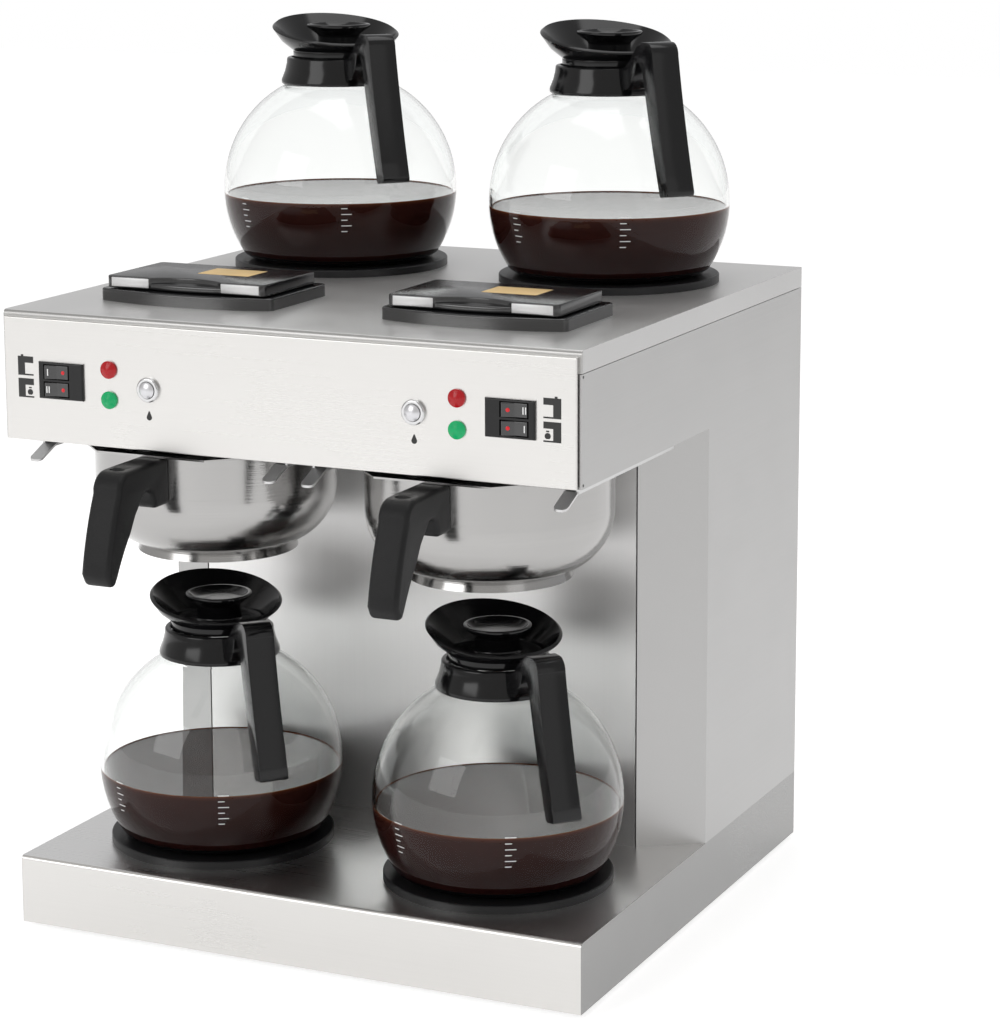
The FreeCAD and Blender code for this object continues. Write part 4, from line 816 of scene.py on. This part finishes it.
# %% [markdown]
# ## Brew baskets
#
# The bowl, its drip ring and its flange are steel and keep their CAD shape: only the finish
# changes, with rings left by the spinning lathe. The handle is a thick moulded hook. It is cut
# out as a side view like the decanter's grip, but its edges are much rounder, and a long shallow
# thumb groove is sunk into its slope, by taking away a ball that was stretched and tilted.

# %% Basket handle
BASKET = {side: Vector(((low.x + high.x) / 2, (low.y + high.y) / 2, 0))
          for side in SIDES for low, high in [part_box(f"basket_bowl_{side}")]}
HOOK_WIDTH = 21
GROOVE_AT, GROOVE_TILT = (-0.124, 0, 0.3262), -38
GROOVE_REACH = (0.015, 0.0055, 0.0022)

hook_outline = [(-78.0, 297.0), (-92.0, 297.0), *arc((-92.0, 302.0), 5.0, -90, -170, 5),
                (-98.6, 307.0), *arc((-104.0, 303.5), 6.0, 60, 130, 5), (-118.0, 297.0),
                *bow((-124.0, 287.0), (-141.0, 262.0), -0.8, 5),
                *arc((-146.2, 261.6), 4.4, -60, -150, 4),
                *bow((-153.0, 265.0), (-137.5, 314.0), 1.6, 6),
                *arc((-124.5, 313.6), 13.4, 165, 90, 8),
                (-112.0, 327.2), (-78.0, 327.2)]
hook = cut_out("hook", hook_outline, HOOK_WIDTH)
settle(hook, broken(0.0038, 5, 40))
nothing_selected()
bpy.ops.mesh.primitive_uv_sphere_add(segments=32, ring_count=16, radius=1, location=GROOVE_AT,
                                     rotation=(0, math.radians(GROOVE_TILT), 0),
                                     scale=GROOVE_REACH)
groove = bpy.context.object
settle(hook, ("BOOLEAN", {"object": groove, "operation": "DIFFERENCE", "solver": "EXACT"}))
bpy.data.objects.remove(groove)
smooth(hook, 50)
turn_and_place(hook, 90, (0, 0, 0))
print("basket handle", [round(part * 1000, 1) for part in hook.dimensions])

# %% Set out the basket handles
for side in SIDES:
    piece = copied(hook, f"basket_handle_{side}.shown", (0, 0, 0))
    turn_and_place(piece, 0, BASKET[side])
    finished(piece, grained_black, f"brew_basket_{side}", "handle_black", f"basket_handle_{side}")
bpy.data.objects.remove(hook)
print("two basket handles")

# %% [markdown]
# ## Filling points
#
# Water is poured in through two hinged lids on the deck. Each lid is a shallow moulded slab with
# a scooped finger hold in its front edge, below which a fuller lip bulges forward, and a pale
# plate is let into the front on each side of the scoop. Two slabs are drawn in plan and raised,
# one for the lip and one for the scooped top, and they are joined into one lid on its hinge
# barrel. A plain amber patch stands where the real lid carries a printed warning.

# %% Slab helper
def raised(name, outline, low, high):
    """A slab whose plan is the outline of (across, back) in millimetres, raised from low
    to high."""
    points = [Vector((across, back, low)) * MM for across, back in outline]
    piece = one_vertex(name, points[0])
    draw_on(points)
    bpy.ops.mesh.select_all(action="SELECT")
    bpy.ops.mesh.edge_face_add()
    rise = (0, 0, (high - low) * MM)
    bpy.ops.mesh.extrude_region_move(TRANSFORM_OT_translate={"value": rise})
    end_edit()
    return face_outwards(piece)


# %% Fill lid
LID_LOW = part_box("fill_lid_left")[0].z * 1000
LID_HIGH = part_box("fill_lid_left")[1].z * 1000
HALF_WIDTH, LID_BACK, LID_FRONT = 59.0, -48.6, -118.5
SCOOP, HOLD, BULGE = 27.0, 6.5, 3.0
WAIST, OVERLAP = LID_LOW + 4.2, 0.4
LIP_WIDTH, LIP_FRONT = HALF_WIDTH - 1, LID_FRONT + 1.5
RIM_WALL, FRONT_WALL, BACK_WALL, ROOF = 4, 12, 3.5, 2.4
BARREL_WIDTH, BARREL_FRONT, BARREL_BACK = 44, -47.7, -42.3

bulge = bow((-SCOOP - 2, LIP_FRONT), (SCOOP + 2, LIP_FRONT), -BULGE, 12)
lip = raised("lip", [(-LIP_WIDTH, LIP_FRONT), *bulge, (LIP_WIDTH, LIP_FRONT),
                     (LIP_WIDTH, LID_BACK), (-LIP_WIDTH, LID_BACK)],
             LID_LOW, WAIST + OVERLAP)
settle(lip, broken(0.0015, 4, 40))
hold = bow((-SCOOP + 1.2, LID_FRONT + 1.4), (SCOOP - 1.2, LID_FRONT + 1.4), HOLD, 14)
cap = raised("cap", [(-HALF_WIDTH, LID_FRONT), (-SCOOP, LID_FRONT), *hold, (SCOOP, LID_FRONT),
                     (HALF_WIDTH, LID_FRONT), (HALF_WIDTH, LID_BACK), (-HALF_WIDTH, LID_BACK)],
             LID_LOW + OVERLAP, LID_HIGH)
start_edit(cap)
choose("edges", lambda edge: abs(abs(edge.verts[0].co.x) - HALF_WIDTH * MM) < 1e-5
       and abs(edge.verts[0].co.z - edge.verts[1].co.z) > 0.002)
bpy.ops.mesh.bevel(offset=0.0035, segments=5, affect="EDGES")
end_edit()
settle(cap, broken(0.0007, 3, 40))
hollow = boxed("hollow", Vector((-HALF_WIDTH + RIM_WALL, LID_FRONT + FRONT_WALL, LID_LOW - 1)) * MM,
               Vector((HALF_WIDTH - RIM_WALL, LID_BACK - BACK_WALL, LID_HIGH - ROOF)) * MM)
for slab in (lip, cap):
    settle(slab, ("BOOLEAN", {"object": hollow, "operation": "DIFFERENCE", "solver": "EXACT"}))
bpy.data.objects.remove(hollow)
barrel_top = LID_LOW + BARREL_BACK - BARREL_FRONT
barrel = boxed("barrel", Vector((-BARREL_WIDTH, BARREL_FRONT, LID_LOW)) * MM,
               Vector((BARREL_WIDTH, BARREL_BACK, barrel_top)) * MM)
start_edit(barrel)
choose("edges", lambda edge: abs(edge.verts[0].co.x - edge.verts[1].co.x) > 0.01)
bpy.ops.mesh.bevel(offset=0.0024, segments=5, affect="EDGES")
end_edit()
fill_lid = joined("fill_lid", [lip, cap, barrel])
smooth(fill_lid, 30)
print("fill lid", [round(part * 1000, 1) for part in fill_lid.dimensions], "mm")

# %% Let-in plates and the patch
PLATE_WIDTH = 28


def let_in(name, low, high, round_off):
    piece = boxed(name, Vector(low) * MM, Vector(high) * MM)
    settle(piece, broken(round_off, 2, 40))
    return smooth(piece, 40)


plates = [let_in("plate", (start, LID_FRONT - 0.25, LID_LOW + 1.4),
                 (start + PLATE_WIDTH, LID_FRONT + 1, LID_HIGH - 0.9), 0.0003)
          for start in (-HALF_WIDTH + RIM_WALL, HALF_WIDTH - RIM_WALL - PLATE_WIDTH)]
front_plates = joined("front_plates", plates)
patch = let_in("patch", (-8, -88, LID_HIGH - 0.5), (30, -62, LID_HIGH + 0.12), 0.0001)
for side in SIDES:
    low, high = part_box(f"fill_frame_{side}")
    middle = ((low.x + high.x) / 2, 0, 0)
    body = f"fill_lid_{side}"
    finished(copied(fill_lid, f"{body}.shown", middle), smooth_black, body, "fill_black", body)
    finished(copied(front_plates, f"fill_lid_plates_{side}", middle), pale_satin, body,
             "fill_black")
    finished(copied(patch, f"fill_lid_patch_{side}", middle), amber_label, body, "fill_black")
for pattern in (fill_lid, front_plates, patch):
    bpy.data.objects.remove(pattern)
dress(smooth_black, "fill_frame_left", "fill_frame_right")
print("two filling points")

# %% [markdown]
# ## Controls
#
# Each station has two rocker switches, a red and a green lamp and a fill button. The rockers
# keep their CAD shape. Their marks are an enamelled bar for one plate and two bars for the
# other, and a red lens that shows when the switch is on. The lamps are remade with the rings
# that a moulded lens has on it, which is what breaks up the light inside.

# %% Marks and red lenses on the rockers
FACE_TILT = 7
PIVOT_BACK = 2.3
MARK_ACROSS, MARK_APART, MARK_HEIGHT = 6.2, 0.8, 2.2
STRIPE = 0.35
EYE_ACROSS = 4.4
HOUSING_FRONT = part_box("switch_housings")[0].y
rocker_red = lens_colour("rocker_red", (0.42, 0.01, 0.015), 0.5)
eye_outline = [(0, 1.0), (1.3, 1.0), (1.3, 2.7), (0.9, 3.0), (0, 3.1)]
for side, way in (("left", -1), ("right", 1)):
    for level in LEVELS:
        node = f"rocker_{side}_{level}"
        low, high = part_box(node)
        pivot = Vector(((low.x + high.x) / 2, HOUSING_FRONT + PIVOT_BACK * MM,
                        (low.z + high.z) / 2))
        single = (side == "left") == (level == "upper")
        middles = [way * MARK_ACROSS + offset
                   for offset in ((0,) if single else (-MARK_APART, MARK_APART))]
        bars = [let_in("bar", (middle - STRIPE, -3.15, -MARK_HEIGHT),
                       (middle + STRIPE, -2.6, MARK_HEIGHT), 0.0001) for middle in middles]
        marks = turn_and_place(joined(f"rocker_mark_{side}_{level}", bars), FACE_TILT, pivot)
        finished(marks, white_mark, node, "rocker_black")
        eye = turned(f"rocker_lens_{side}_{level}", eye_outline, (-way * EYE_ACROSS * MM, 0, 0),
                     forward=True, steps=32)
        smooth(eye, 50)
        finished(turn_and_place(eye, FACE_TILT, pivot), rocker_red, node, "red_lens")
dress(smooth_black, *[f"rocker_{side}_{level}" for side in SIDES for level in LEVELS])
print("rockers marked")

# %% Lamps
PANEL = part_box("hood_front_panel")[0].y
LAMP_RADIUS, LAMP_FLANGE, DOME = 5.7, 1.3, 2.0


def lamp_lens(name, at, rings):
    """A lamp's lens: a low dome with moulded rings on it."""
    outline = [(0, -6), (4.4, -6), (4.4, 0), (LAMP_RADIUS, 0), (LAMP_RADIUS, LAMP_FLANGE)]
    count = 24
    for step in range(1, count):
        reach = LAMP_RADIUS * (1 - step / count)
        height = LAMP_FLANGE + DOME * math.cos(math.radians(90) * reach / LAMP_RADIUS)
        outline.append((reach, height + rings * (step % 4 == 0)))
    outline.append((0, LAMP_FLANGE + DOME))
    piece = turned(name, outline, at, forward=True, steps=48)
    return smooth(piece, 60 if rings < 0.1 else 25)


for colour, material, rings in (("red", red_lens, 0.03), ("green", green_lens, 0.14)):
    low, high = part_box(f"{colour}_lamps")
    across, height = (high.x - low.x) / 2 - LAMP_RADIUS * MM, (low.z + high.z) / 2
    pair = [lamp_lens("lens", (way * across, PANEL, height), rings) for way in (-1, 1)]
    finished(joined(f"{colour}_lamps.shown", pair), material, "machine", f"{colour}_lens",
             f"{colour}_lamps")
dress(cap_silver, "autofill_button_left", "autofill_button_right")
print("lamps set")

# %% [markdown]
# ### Signs on the front panel
#
# Small printed signs say which switch heats which plate: the side view of a brewer, alone for
# the upper plate and with a jug for the lower one. They are plain silhouettes of a print's
# thickness. A water drop under each button stands for filling.

# %% Signs
PRINT = 0.12
SIGN_ACROSS, UPPER_SIGN, LOWER_SIGN = 185.2, 382.6, 368.2
DROP_BELOW = 12.5
PRINT_AT = PANEL - PRINT / 2 * MM


def sign(name, outlines, way, at):
    """Silhouettes in one sign, drawn to the right of a column and mirrored on the left."""
    shapes = [cut_out("shape", [(way * across, height) for across, height in outline], PRINT)
              for outline in outlines]
    return turn_and_place(joined(name, shapes), 0, at)


column_sign = [(5.8, -6.2), (5.8, 6.2), (-5.8, 6.2), (-5.8, 2.0), (0.6, 2.0), (0.6, -5.2),
               (-5.8, -5.2), (-5.8, -6.2)]
knob_sign = [(1.6, 6.2), (3.4, 6.2), (3.4, 7.3), (1.6, 7.3)]
jug_sign = [*arc((-3.0, -2.6), 2.0, -60, 240, 14)]
jug_lid_sign = [(-4.0, -0.1), (-2.0, -0.1), (-2.0, 0.8), (-4.0, 0.8)]
drop_sign = [*arc((0, 0), 1.9, -200, 20, 14), (0.3, 4.0), (-0.3, 4.0)]
for side, way in (("left", -1), ("right", 1)):
    for label, outlines, height in (("upper", [column_sign, knob_sign], UPPER_SIGN),
                                    ("lower", [column_sign, jug_sign, jug_lid_sign], LOWER_SIGN)):
        piece = sign(f"plate_sign_{side}_{label}", outlines, way,
                     (way * SIGN_ACROSS * MM, PRINT_AT, height * MM))
        finished(piece, black_print_and_hole_shade, "machine", "switch_black")
    low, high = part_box(f"autofill_button_{side}")
    piece = sign(f"fill_sign_{side}", [drop_sign], way,
                 ((low.x + high.x) / 2, PRINT_AT, low.z - DROP_BELOW * MM))
    finished(piece, black_print_and_hole_shade, "machine", "switch_black")
print("signs printed")

# %% [markdown]
# ### Corner reliefs
#
# A sheet that is folded on two edges gets a small hole where the folds meet, so that the metal
# doesn't tear. The holes are not cut here: at the front corners of the hood's sides each is a
# black disc, painted shade that stands for the dark inside of the hole.

# %% Reliefs
RELIEF = 0.0009


def relief(across, depth, height):
    """A small black disc on a side of the hood, painted shade for the inside of a relief hole."""
    nothing_selected()
    bpy.ops.mesh.primitive_cylinder_add(vertices=24, radius=RELIEF, depth=RELIEF / 4,
                                        location=(across, depth, height),
                                        rotation=(0, math.radians(90), 0))
    bpy.ops.object.transform_apply(location=True, rotation=True, scale=True)
    return bpy.context.object


for side, way in (("left", -1), ("right", 1)):
    low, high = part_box(f"hood_side_{side}")
    across = high.x if way > 0 else low.x
    # Painted shade: a black disc at each corner stands for the dark inside of a relief hole.
    hole_shades = [relief(across, low.y + 2.5 * RELIEF, height)
            for height in (low.z + 2.5 * RELIEF, high.z - 2 * RELIEF)]
    finished(joined(f"corner_reliefs_{side}", hole_shades), black_print_and_hole_shade, "machine", "switch_black")
print("corner reliefs marked")

# %% [markdown]
# ## Closing
#
# At the end nothing is left selected.

# %% Finish
nothing_selected()
